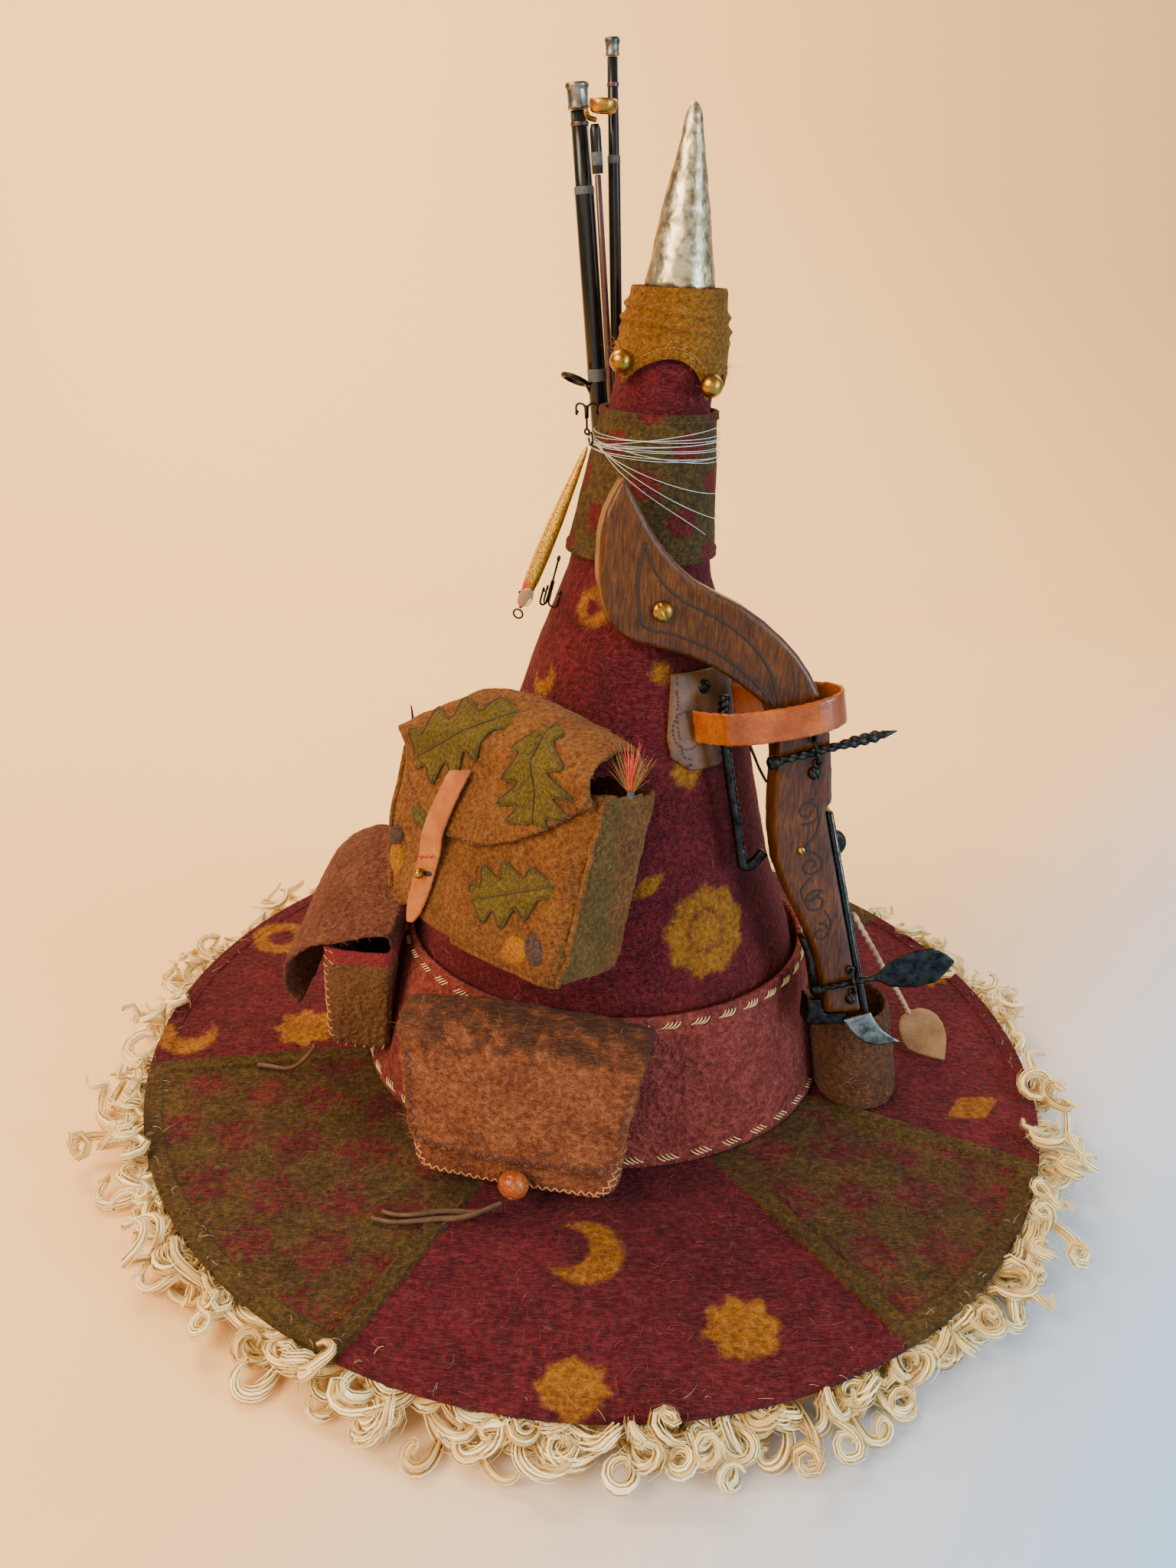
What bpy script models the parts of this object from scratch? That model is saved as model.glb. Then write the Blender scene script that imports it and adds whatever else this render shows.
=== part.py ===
# A wizard's hat of wet felt, hung with small felt bags, fishing rods, a lure and a toy crossbow.
# Metres, +Z up. It stands by itself on the curled fleece sewn round the brim.
# The origin is on the floor below the middle of the brim, and the front of the hat faces -Y.

import math
from collections import namedtuple

import bmesh
import bpy
from mathutils import Matrix, Vector

MM = 0.001
GAP = 0.3 * MM              # clearance between pieces that touch
FACET_GAP = 0.7 * MM        # the same where two round surfaces have different facets

# Brim
BRIM_RADIUS = 230.0 * MM
BRIM_UNDERSIDE = 20.0 * MM  # height above the floor
FELT = 3.0 * MM             # thickness of the brim's felt
BRIM_TOP = BRIM_UNDERSIDE + FELT
HEM_WIDTH = 9.0 * MM        # turned edge with its two rows of stitching
HEM_RISE = 0.8 * MM
SEAM_WIDTH = 9.0 * MM       # lapped seams between the brim's panels
SEAM_RISE = 1.1 * MM
SEAM_AZIMUTHS = (-169.0, -115.5, -55.5, -23.0, 38.0, 100.0)
PANEL_COLUMNS = 7           # steps of the mesh across one panel
HOLE_MARGIN = 3.5 * MM      # the brim's hole is this much smaller than the crown's outside

# Curled fleece round the brim
FRINGE_REACH = 33.0 * MM    # past the brim's edge
FRINGE_TRIM = 0.3           # how much shorter the locks are in front and behind than at the sides
FRINGE_INNER = 212.0 * MM
LOCKS_PER_QUARTER = 8

# Crown: height above the floor, sideways shift and half widths of each section, in millimetres
CrownRow = namedtuple("CrownRow", "height shift half_x half_y")
CROWN_ROWS = [CrownRow(*row) for row in (
    (24.3, 0.0, 117.0, 100.0),
    (62.0, 1.5, 106.0, 91.5),
    (107.0, 3.5, 91.5, 81.5),
    (143.0, 5.5, 76.0, 71.0),
    (200.0, 8.5, 58.5, 57.0),
    (250.0, 10.0, 43.5, 43.0),
    (281.0, 10.0, 32.0, 32.0),
    (292.0, 10.2, 30.0, 30.0),
    (352.0, 14.8, 21.8, 21.8),
    (375.0, 18.3, 19.8, 19.8),
    (397.0, 20.0, 16.6, 16.6),
)]
CROWN_WALL = 2.6 * MM
ROUND_SIDES = 30            # facets round the crown and band
SMALL_ROUND_SIDES = 24      # facets round the sleeve and collar

# Hat band
BAND_BOTTOM = 24.2 * MM
BAND_TOP = 99.0 * MM
BAND_WALL = 2.6 * MM
BAND_FLARE = 3.0 * MM       # its top edge stands off the crown

# Checked sleeve high on the crown, under the fishing line
SLEEVE_BOTTOM = 290.5 * MM
SLEEVE_TOP = 351.5 * MM
SLEEVE_WALL = 2.3 * MM
SLEEVE_EASE = 0.6 * MM      # between the crown and the sleeve

# Scalloped collar below the tip
COLLAR_ARCH = 373.0 * MM    # height of the arches
COLLAR_WALL = 2.0 * MM
CollarPoint = namedtuple("CollarPoint", "azimuth height")    # degrees, and millimetres above the floor
COLLAR_POINTS = [CollarPoint(*row) for row in (
    (-46.0, 354.5), (-4.0, 360.0), (70.0, 357.0), (146.0, 359.0), (222.0, 361.0),
)]
BEAD_RADIUS = 4.7 * MM

# Silver tip
TIP_BASE = 397.4 * MM
TIP_LEAN = 1.2              # degrees, towards +X

# Rods, each from its lower end on the sleeve to its top
Rod = namedtuple("Rod", "foot_x foot_y foot_z top_x top_y top_z radius")
THICK_ROD = Rod(-7.8, 27.3, 318.0, -25.6, 25.0, 473.2, 4.1)
THIN_ROD = Rod(-1.1, 29.4, 318.0, -12.0, 26.0, 489.4, 2.6)
TIP_ROD = Rod(-5.3, 19.4, 345.0, -15.6, 19.0, 440.0, 1.6)

# Bags. Each has a frame: the middle of the lower edge of its back, the way it faces, how far it
# leans back, and how far it is turned in its own plane, as one faces it
Frame = namedtuple("Frame", "x y z facing lean turn")
BACKPACK_FRAME = Frame(-29.8, -68.4, 128.0, -134.2, 14.2, 5.4)
FRONT_POUCH_FRAME = Frame(-31.0, -99.0, 27.0, -100.0, 10.0, 0.0)
LEFT_POUCH_FRAME = Frame(-99.0, -7.0, 41.0, 176.0, 3.0, 0.0)
BAG_WALL = 2.6 * MM

# Crossbow: its frame has its origin on the front face, under the end of the stock
CROSSBOW_FRAME = Frame(115.0, -64.7, 85.0, -82.0, 6.28, 0.0)
STOCK_THICKNESS = 16.0 * MM

THONG_RADIUS = 1.3 * MM
TAB_FRAME = Frame(176.5, -10.0, 23.6, -84.0, 20.0, 0.0)


def radians(degrees):
    return math.radians(degrees)


def polar(radius, azimuth, height=0.0):
    return Vector((radius * math.cos(azimuth), radius * math.sin(azimuth), height))


def between(low, high, share):
    return low + (high - low) * share


def frame_matrix(frame):
    # Local X runs to the right as one faces the piece, Y up along it, Z out of it
    facing, lean, turn = radians(frame.facing), radians(frame.lean), radians(frame.turn)
    out = Vector((math.cos(facing) * math.cos(lean), math.sin(facing) * math.cos(lean), math.sin(lean)))
    right = Vector((-math.sin(facing), math.cos(facing), 0.0))
    up = out.cross(right)
    right, up = (right * math.cos(turn) + up * math.sin(turn), up * math.cos(turn) - right * math.sin(turn))
    matrix = Matrix((right, up, out)).transposed().to_4x4()
    matrix.translation = Vector((frame.x, frame.y, frame.z)) * MM
    return matrix


def crown_section(height):
    # Shift and half widths of the crown's outside at this height
    rows = CROWN_ROWS
    mm = height / MM
    if mm <= rows[0].height:
        row = rows[0]
        return row.shift * MM, row.half_x * MM, row.half_y * MM
    for low, high in zip(rows, rows[1:]):
        if mm <= high.height:
            share = (mm - low.height) / (high.height - low.height)
            return tuple(between(a, b, share) * MM for a, b in zip(low[1:], high[1:]))
    row = rows[-1]
    return row.shift * MM, row.half_x * MM, row.half_y * MM


def band_offset(height):
    # How far the band's inner face is from the crown
    share = max(0.0, (height - BAND_BOTTOM) / (BAND_TOP - BAND_BOTTOM))
    return FACET_GAP + BAND_FLARE * share


def dressed_section(height):
    # The crown with its band and sleeve on
    shift, half_x, half_y = crown_section(height)
    extra = 0.0
    if height < BAND_TOP + 4 * MM:
        extra = band_offset(min(height, BAND_TOP)) + BAND_WALL
    if SLEEVE_BOTTOM - 4 * MM < height < SLEEVE_TOP + 4 * MM:
        extra = SLEEVE_EASE + SLEEVE_WALL + 1.0 * MM
    return shift, half_x + extra, half_y + extra


def clear_of_crown(point, gap=FACET_GAP):
    # Moves a point straight out from the crown's axis until it clears what is on the crown
    shift, half_x, half_y = dressed_section(point.z)
    dx, dy = point.x - shift, point.y
    reach = math.hypot(dx / (half_x + gap), dy / (half_y + gap))
    if 0.0 < reach < 1.0:
        return Vector((shift + dx / reach, dy / reach, point.z))
    return point


def on_crown(azimuth, height, off=0.0):
    # A point at this azimuth (degrees) and height, this far off the crown's felt
    shift, half_x, half_y = crown_section(height)
    angle = radians(azimuth)
    return Vector((shift + (half_x + off) * math.cos(angle), (half_y + off) * math.sin(angle), height))


def start_scene():
    for item in list(bpy.data.objects):
        bpy.data.objects.remove(item, do_unlink=True)
    hat = bpy.data.collections.new("wizard_hat")
    bpy.context.scene.collection.children.link(hat)
    return hat


HAT = start_scene()


def material(name, colour, roughness, metallic=0.0):
    made = bpy.data.materials.new(name)
    made.use_nodes = True
    shader = made.node_tree.nodes["Principled BSDF"]
    shader.inputs["Base Color"].default_value = (*colour, 1.0)
    shader.inputs["Roughness"].default_value = roughness
    shader.inputs["Metallic"].default_value = metallic
    made.diffuse_color = (*colour, 1.0)
    return made


BURGUNDY = material("burgundy_felt", (0.14, 0.016, 0.026), 0.95)
ROSE = material("rose_felt", (0.22, 0.044, 0.036), 0.95)
OLIVE = material("olive_felt", (0.09, 0.052, 0.012), 0.95)
BROWN = material("brown_felt", (0.20, 0.075, 0.028), 0.95)
MUSTARD = material("mustard_felt", (0.38, 0.19, 0.035), 0.95)
FLEECE = material("cream_fleece", (0.74, 0.60, 0.34), 0.9)
LEATHER = material("tan_leather", (0.42, 0.17, 0.05), 0.6)
DARK_LEATHER = material("dark_leather", (0.12, 0.06, 0.025), 0.7)
WOOD = material("stained_wood", (0.20, 0.075, 0.024), 0.4)
SILVER = material("silver_foil", (0.60, 0.58, 0.52), 0.35, 1.0)
GOLD = material("satin_gold", (0.50, 0.30, 0.09), 0.4, 1.0)
BLACK_IRON = material("black_iron", (0.02, 0.019, 0.018), 0.45, 0.8)
BLACK_LACQUER = material("black_lacquer", (0.008, 0.008, 0.008), 0.35)
STEEL = material("dull_steel", (0.20, 0.20, 0.18), 0.35, 1.0)
CLEAR_PLASTIC = material("clear_plastic", (0.75, 0.72, 0.62), 0.15)


def add_object(name, mesh, paint, matrix=None):
    made = bpy.data.objects.new(name, mesh)
    mesh.materials.append(paint)
    if matrix is not None:
        made.matrix_world = matrix
    HAT.objects.link(made)
    return made


def soften(piece, angle=40.0):
    piece.data.shade_smooth()
    piece.data.set_sharp_from_angle(angle=radians(angle))
    return piece


def loft(name, rings, paint, matrix=None, cap_first=False, cap_last=False, closed=False):
    # Skins a list of rings that all have the same number of points and turn the same way
    count = len(rings[0])
    verts = [point for ring in rings for point in ring]
    faces = []
    rows = len(rings) if closed else len(rings) - 1
    for row in range(rows):
        low, high = row * count, ((row + 1) % len(rings)) * count
        for k in range(count):
            after = (k + 1) % count
            faces.append((low + k, low + after, high + after, high + k))
    if cap_first:
        faces.append(tuple(reversed(range(count))))
    if cap_last:
        faces.append(tuple(range(len(verts) - count, len(verts))))
    mesh = bpy.data.meshes.new(name)
    mesh.from_pydata(verts, [], faces)
    mesh.validate()
    return soften(add_object(name, mesh, paint, matrix))


def sheet(name, rows, thickness, paint, matrix=None, side=1.0):
    # A grid of points with a thickness; side 1 adds it on the side of the faces' normals
    count = len(rows[0])
    verts = [point for row in rows for point in row]
    faces = []
    for row in range(len(rows) - 1):
        for k in range(count - 1):
            start = row * count + k
            faces.append((start, start + 1, start + count + 1, start + count))
    mesh = bpy.data.meshes.new(name)
    mesh.from_pydata(verts, [], faces)
    piece = soften(add_object(name, mesh, paint, matrix))
    thicken(piece, thickness, side)
    return piece


def thicken(piece, thickness, side):
    shell = piece.modifiers.new("thickness", "SOLIDIFY")
    shell.thickness = thickness
    shell.offset = side
    shell.use_even_offset = True


def turned(name, profile, paint, matrix=None, steps=16):
    # A profile of (radius, height) pairs in millimetres, from the top down, turned round local Z
    mesh = bpy.data.meshes.new(name)
    verts = [(radius * MM, 0.0, height * MM) for radius, height in profile]
    mesh.from_pydata(verts, [(k, k + 1) for k in range(len(verts) - 1)], [])
    piece = add_object(name, mesh, paint, matrix)
    screw = piece.modifiers.new("turn", "SCREW")
    screw.steps = steps
    screw.render_steps = steps
    screw.use_merge_vertices = True
    screw.merge_threshold = 0.00001
    screw.use_smooth_shade = True
    return piece


def smooth_route(points, steps):
    # Points along a smooth curve through the given ones, steps for each stretch
    route = [Vector(point) for point in points]
    padded = [route[0] * 2 - route[1]] + route + [route[-1] * 2 - route[-2]]
    curve = []
    for k in range(1, len(padded) - 2):
        a, b, c, d = padded[k - 1:k + 3]
        for step in range(steps):
            t = step / steps
            curve.append(0.5 * ((2 * b) + (c - a) * t + (2 * a - 5 * b + 4 * c - d) * t * t
                                + (3 * b - a - 3 * c + d) * t ** 3))
    curve.append(route[-1])
    return curve


def tube(name, points, radius, paint, matrix=None, sides_step=0, cyclic=False):
    curve = bpy.data.curves.new(name, "CURVE")
    curve.dimensions = "3D"
    curve.bevel_depth = radius
    curve.bevel_resolution = sides_step
    curve.use_fill_caps = not cyclic
    spline = curve.splines.new("POLY")
    spline.points.add(len(points) - 1)
    for place, point in zip(spline.points, points):
        place.co = (*point, 1.0)
    spline.use_cyclic_u = cyclic
    piece = bpy.data.objects.new(name, curve)
    curve.materials.append(paint)
    if matrix is not None:
        piece.matrix_world = matrix
    HAT.objects.link(piece)
    return piece


def ball(name, radius, centre, paint, segments=10, rings=7, squash=1.0):
    mesh = bpy.data.meshes.new(name)
    made = bmesh.new()
    bmesh.ops.create_uvsphere(made, u_segments=segments, v_segments=rings, radius=radius,
                              matrix=Matrix.Diagonal((1.0, 1.0, squash, 1.0)))
    made.to_mesh(mesh)
    made.free()
    mesh.shade_smooth()
    return add_object(name, mesh, paint, centre if isinstance(centre, Matrix) else Matrix.Translation(centre))


def ellipse_ring(height, half_x, half_y, shift=0.0, sides=ROUND_SIDES):
    ring = []
    for k in range(sides):
        angle = 2 * math.pi * k / sides
        ring.append(Vector((shift + half_x * math.cos(angle), half_y * math.sin(angle), height)))
    return ring


def brim_columns():
    # (seam azimuth, offset along the brim, turn after it, raised) for each column of the mesh
    half, slope = SEAM_WIDTH / 2, 0.8 * MM
    columns = []
    seams = [radians(azimuth) for azimuth in SEAM_AZIMUTHS]
    for k, seam in enumerate(seams):
        for offset, raised in ((-half, 0.0), (slope - half, 1.0), (half - slope, 1.0), (half, 0.0)):
            columns.append((seam, offset, 0.0, raised))
        after = seams[(k + 1) % len(seams)]
        if after < seam:
            after += 2 * math.pi
        for step in range(1, PANEL_COLUMNS):
            share = step / PANEL_COLUMNS
            columns.append((seam, half * (1 - 2 * share), (after - seam) * share, 0.0))
    return columns


def brim():
    # Rings from the hole out over the top, round the hem and back below; each is a share of the
    # way from the hole to the rim, a height, and how much of a seam shows on it
    _, hole_x, hole_y = crown_section(BRIM_TOP)
    hole_x -= HOLE_MARGIN
    hole_y -= HOLE_MARGIN
    hem_in = 1.0 - HEM_WIDTH / (BRIM_RADIUS - hole_x)
    hem_step = 0.7 * MM / (BRIM_RADIUS - hole_x)
    seam_start = (10 * MM) / (BRIM_RADIUS - hole_x)
    top, hem_top = BRIM_TOP, BRIM_TOP + HEM_RISE
    rings = (
        (0.0, BRIM_UNDERSIDE, 0.0),
        (0.0, top, 0.0),
        (seam_start, top, 0.0),
        (seam_start + hem_step, top, 1.0),
        (hem_in - hem_step, top, 1.0),
        (hem_in, hem_top, 0.4),
        (1.0 - hem_step, hem_top, 0.4),
        (1.0, hem_top - 0.8 * MM, 0.2),
        (1.0, BRIM_UNDERSIDE, 0.0),
    )
    skins = []
    for share, height, seam_share in rings:
        ring = []
        for seam, offset, turn, raised in brim_columns():
            # The hole is an ellipse and the rim a circle
            angle = seam + turn
            hole = 1.0 / math.hypot(math.cos(angle) / hole_x, math.sin(angle) / hole_y)
            radius = between(hole, BRIM_RADIUS, share)
            azimuth = angle + math.asin(offset / radius)
            ring.append(polar(radius, azimuth, height + SEAM_RISE * raised * seam_share))
        skins.append(ring)
    # The rings turn inward to outward over the top, so the loft closes on itself
    return loft("brim", list(reversed(skins)), OLIVE, closed=True)


def fleece_fringe():
    # A backing under the brim's edge, fused with tapering locks that reach out and down to the floor
    under = BRIM_UNDERSIDE - GAP
    edge = BRIM_RADIUS + FACET_GAP
    locks = 4 * LOCKS_PER_QUARTER
    lengths = (1.0, 0.74, 0.9, 0.8, 0.97, 0.72, 0.88, 0.78)
    lifts = (0.2, 0.9, 0.5, 0.0, 0.7, 1.0, 0.3, 0.6)
    columns = 2 * locks
    sections = []
    for k in range(columns):
        azimuth = 2 * math.pi * k / columns
        lock = (k // 2) % LOCKS_PER_QUARTER
        tip = k % 2 == 0
        fullness = 1.0 - FRINGE_TRIM * math.sin(azimuth) ** 2
        reach = edge + FRINGE_REACH * fullness * (lengths[lock] if tip else 0.52) - FACET_GAP
        lift = (4.0 * lifts[lock] if tip else 1.5) * MM
        sections.append([
            polar(FRINGE_INNER, azimuth, under),
            polar(edge - 4 * MM, azimuth, 0.0),
            polar(edge + 10 * MM, azimuth, 0.0),
            polar(between(edge, reach, 0.8), azimuth, 2.0 * MM + lift * 0.4),
            polar(reach, azimuth, 16.0 * MM + lift),
            polar(between(edge, reach, 0.72), azimuth, 22.0 * MM + lift),
            polar(edge, azimuth, 25.5 * MM + lift * 0.4),
            polar(edge, azimuth, under),
        ])
    return loft("fleece_fringe", list(reversed(sections)), FLEECE, closed=True)


def crown():
    rings = []
    for row in CROWN_ROWS:
        rings.append(ellipse_ring(row.height * MM, row.half_x * MM, row.half_y * MM, row.shift * MM))
    piece = loft("crown", rings, BURGUNDY, cap_last=True)
    thicken(piece, CROWN_WALL, -1.0)
    return piece


def hat_band():
    rings = []
    for share in (0.0, 0.5, 1.0):
        height = between(BAND_BOTTOM, BAND_TOP, share)
        shift, half_x, half_y = crown_section(height)
        off = band_offset(height)
        rings.append(ellipse_ring(height, half_x + off, half_y + off, shift))
    piece = loft("hat_band", rings, ROSE)
    thicken(piece, BAND_WALL, 1.0)
    return piece


def cone_wrap():
    # The sleeve's two hems are a little thicker than the felt between them
    rings = []
    for height, hem in ((290.5, 0.7), (294.5, 0.7), (295.5, 0.0), (346.0, 0.0), (347.5, 0.7), (351.5, 0.7)):
        shift, half_x, half_y = crown_section(height * MM)
        off = SLEEVE_EASE + SLEEVE_WALL + hem * MM
        rings.append(ellipse_ring(height * MM, half_x + off, half_y + off, shift, SMALL_ROUND_SIDES))
    piece = loft("cone_wrap", rings, OLIVE)
    thicken(piece, SLEEVE_WALL, -1.0)
    return piece


def collar_edge(azimuth):
    # Height of the collar's lower edge: an arch between each pair of points
    here = (azimuth - COLLAR_POINTS[0].azimuth) % 360.0 + COLLAR_POINTS[0].azimuth
    first = COLLAR_POINTS[0]
    for low, high in zip(COLLAR_POINTS, COLLAR_POINTS[1:] + [CollarPoint(first.azimuth + 360.0, first.height)]):
        if here <= high.azimuth:
            share = (here - low.azimuth) / (high.azimuth - low.azimuth)
            base = between(low.height, high.height, share) * MM
            rise = (COLLAR_ARCH - base) * min(1.0, (high.azimuth - low.azimuth) / 70.0)
            return base + rise * math.sin(math.pi * share) ** 0.6


def gold_collar():
    # Outside radius in millimetres at heights above the lower edge, with two rolled ridges
    sides = SMALL_ROUND_SIDES
    profile = ((399.5, 19.4), (391.0, 20.4), (389.0, 21.6), (387.0, 20.9), (385.0, 22.1), (382.5, 21.3),
               (377.0, 22.0))
    rings = []
    for share in (1.0, 0.4):
        ring = []
        for k in range(sides):
            azimuth = 360.0 * k / sides
            height = between(377.0 * MM, collar_edge(azimuth), share)
            shift, half_x, _ = crown_section(height)
            radius = half_x + FACET_GAP + COLLAR_WALL + (0.4 + 0.5 * share) * MM
            ring.append(Vector((shift, 0.0, 0.0)) + polar(radius, radians(azimuth), height))
        rings.append(ring)
    for height, radius in reversed(profile):
        shift, _, _ = crown_section(height * MM)
        rings.append(ellipse_ring(height * MM, radius * MM, radius * MM, shift, sides))
    piece = loft("gold_collar", rings, MUSTARD)
    thicken(piece, COLLAR_WALL, -1.0)
    return piece


def collar_beads():
    # Satin beads sewn over the points of the collar, and one on the felt under an arch
    for name, azimuth, height in (("collar_bead_left", -136.0, 371.4), ("collar_bead_front", -53.0, 363.6),
                                  ("collar_bead_right", 36.0, 366.0)):
        shift, half_x, _ = crown_section(height * MM)
        covered = height * MM > collar_edge(azimuth)
        radius = half_x + BEAD_RADIUS + GAP + (FACET_GAP + COLLAR_WALL + 0.9 * MM if covered else 0.0)
        centre = Vector((shift, 0.0, 0.0)) + polar(radius, radians(azimuth), height * MM)
        ball(name, BEAD_RADIUS, centre, GOLD)


def silver_tip():
    # A blunt cone of foil, slightly full in the middle and rounded at both ends
    profile = ((0.0, 68.5), (1.7, 67.6), (3.0, 64.5), (5.5, 52.0), (7.9, 40.0), (12.4, 15.0), (14.6, 2.8),
               (14.1, 0.5), (13.2, 0.0), (0.0, 0.0))
    shift, _, _ = crown_section(TIP_BASE)
    stand = Matrix.Translation((shift, 0.0, TIP_BASE)) @ Matrix.Rotation(radians(TIP_LEAN), 4, "Y")
    # The lean would sink one side of the base into the felt
    stand.translation.z += math.sin(radians(TIP_LEAN)) * 13.2 * MM
    return turned("silver_tip", profile, SILVER, stand, 18)


def rod_matrix(rod):
    foot = Vector(rod[0:3]) * MM
    top = Vector(rod[3:6]) * MM
    axis = top - foot
    matrix = axis.to_track_quat("Z", "Y").to_matrix().to_4x4()
    matrix.translation = foot
    return matrix, axis.length / MM


def rods():
    # Two rod sections with worn ferrules on top, each with a step a fifth of the way down
    for name, rod, ferrule_length in (("thick_rod", THICK_ROD, 9.5), ("thin_rod", THIN_ROD, 6.5)):
        matrix, length = rod_matrix(rod)
        r = rod.radius
        shaft = length - ferrule_length - 0.3
        step = length * 0.76
        profile = ((0.0, shaft), (r * 0.86, shaft), (r * 0.88, step), (r, step - 1.5), (r, 2.0),
                   (r * 0.8, 0.0), (0.0, 0.0))
        turned(name, profile, BLACK_LACQUER, matrix, 12)
        low = length - ferrule_length
        socket = ((0.0, low + 1.5), (r * 0.7, low + 1.5), (r * 0.7, length), (r * 1.12, length),
                  (r * 1.18, length - 1.2), (r * 1.04, length - 2.4), (r * 1.04, low + 1.0),
                  (r * 1.1, low), (0.0, low))
        turned(name + "_ferrule", socket, STEEL, matrix, 10)
    matrix, length = rod_matrix(TIP_ROD)
    r = TIP_ROD.radius
    turned("tip_rod", ((0.0, length), (r * 0.8, length), (r, 2.0), (r * 0.8, 0.0), (0.0, 0.0)),
           BLACK_LACQUER, matrix, 8)


# Millimetres: widths and depths at the bottom and top, how far the front swells, the radius of its
# corners, how much wider it is in front than behind, and how far its left side, as one faces it,
# swells out and is lifted at the bottom
BagSize = namedtuple("BagSize", "low_width top_width height low_depth top_depth bulge corner flare left_swell left_lift",
                     defaults=(0.0, 0.0, 0.0))
BACKPACK = BagSize(103.0, 117.0, 82.0, 45.0, 39.0, 4.0, 7.0, 4.5, 6.0, 10.0)
FRONT_POUCH = BagSize(94.0, 104.0, 68.0, 26.0, 23.0, 4.0, 8.0)
LEFT_POUCH = BagSize(80.0, 84.0, 60.0, 33.0, 35.0, 2.0, 6.0)


def bag_depth(size, x, y):
    # Distance of the bag's front from its back, in millimetres: it swells between its edges
    share = min(1.0, max(0.0, y / size.height))
    half = between(size.low_width, size.top_width, share) / 2
    across = max(0.0, 1.0 - (x / half) ** 2)
    down = math.sin(math.pi * (0.12 + 0.76 * share))
    return between(size.low_depth, size.top_depth, share) + size.bulge * across * down


def bag_section(size, y, inset):
    # Points of a rounded rectangle at local height y, turning from the front over the right to the back
    share = y / size.height
    half = between(size.low_width, size.top_width, share) / 2 - inset
    depth = between(size.low_depth, size.top_depth, share) - inset
    front, back = size.corner, 2.5
    points = []

    def corner(x, z, radius, start, turns):
        for turn in turns:
            angle = radians(start + turn)
            points.append((x + radius * math.sin(angle), z + radius * math.cos(angle)))

    def side(x0, z0, x1, z1, steps):
        for k in range(1, steps):
            points.append((between(x0, x1, k / steps), between(z0, z1, k / steps)))

    corner(-half + front, depth - front, front, -90.0, (0.0, 45.0, 90.0))
    side(-half + front, depth, half - front, depth, 4)
    corner(half - front, depth - front, front, 0.0, (0.0, 45.0, 90.0))
    corner(half - back, inset + back, back, 90.0, (0.0, 90.0))
    side(half - back, inset, -half + back, inset, 5)
    corner(-half + back, inset + back, back, 180.0, (0.0, 90.0))
    placed = []
    for x, z in points:
        lift = 0.0
        if z > depth - 0.01:
            z += bag_depth(size, x, y) - between(size.low_depth, size.top_depth, share)
        side = x / half
        x += side * size.flare * z / depth
        if side < 0.0:
            x += side * size.left_swell * math.sin(math.pi * share) ** 0.7
            lift = size.left_lift * side * side * (1.0 - share) ** 2
        placed.append((x, y + lift, z))
    return placed


def onto_band(point, gap):
    # Draws a point straight in or out until it lies on the band
    shift, half_x, half_y = dressed_section(point.z)
    dx, dy = point.x - shift, point.y
    reach = math.hypot(dx / (half_x + gap), dy / (half_y + gap))
    return Vector((shift + dx / reach, dy / reach, point.z))


def bag(name, frame, size, paint, cling=False, gap=FACET_GAP):
    # An open-topped felt bag with rounded edges; its back lies along what is on the crown.
    # The rings run up the outside and down the inside: local height, inset, how deep in the wall
    matrix = frame_matrix(frame)
    inverse = matrix.inverted()
    wall, top = BAG_WALL / MM, size.height
    profile = [(0.0, 5.0, 0.0), (1.5, 1.5, 0.0), (5.0, 0.0, 0.0), (0.5 * top, 0.0, 0.0), (top, 0.0, 0.0),
               (top, wall, 1.0), (0.5 * top, wall, 1.0), (6.5, wall, 1.0), (wall, wall + 3.5, 1.0)]
    rings = []
    for y, inset, depth in profile:
        ring = []
        clearance = gap + depth * BAG_WALL
        for place in bag_section(size, y, inset):
            point = matrix @ (Vector(place) * MM)
            if cling and place[2] < inset + 2.6:
                point = onto_band(point, clearance)
            ring.append(inverse @ clear_of_crown(point, clearance))
        rings.append(ring)
    return loft(name, rings, paint, matrix, cap_first=True, cap_last=True)


FlapRow = namedtuple("FlapRow", "height out left right crest")


def crest_rise(crest, share):
    # The crest is a table of (share across from -1 to 1, rise) pairs
    for (low, rise), (high, next_rise) in zip(crest, crest[1:]):
        if share <= high:
            return between(rise, next_rise, (share - low) / (high - low))
    return crest[-1][1]


def flap(name, frame, size, rows, crest, paint, columns=8):
    # A felt flap. Each row is a local height, a distance from the bag's back (None follows the
    # bag's front), its ends left and right of the middle, and how much of the crest shows on it
    matrix = frame_matrix(frame)
    inverse = matrix.inverted()
    grid = []
    for row in rows:
        line = []
        for k in range(columns + 1):
            x = between(-row.left, row.right, k / columns)
            y = row.height + row.crest * crest_rise(crest, 2.0 * k / columns - 1.0)
            out = bag_depth(size, x, y) + 1.6 if row.out is None else row.out
            point = matrix @ (Vector((x, y, out)) * MM)
            line.append(inverse @ clear_of_crown(point, FACET_GAP + BAG_WALL))
        grid.append(line)
    return sheet(name, grid, BAG_WALL, paint, matrix, side=-1.0)


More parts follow.
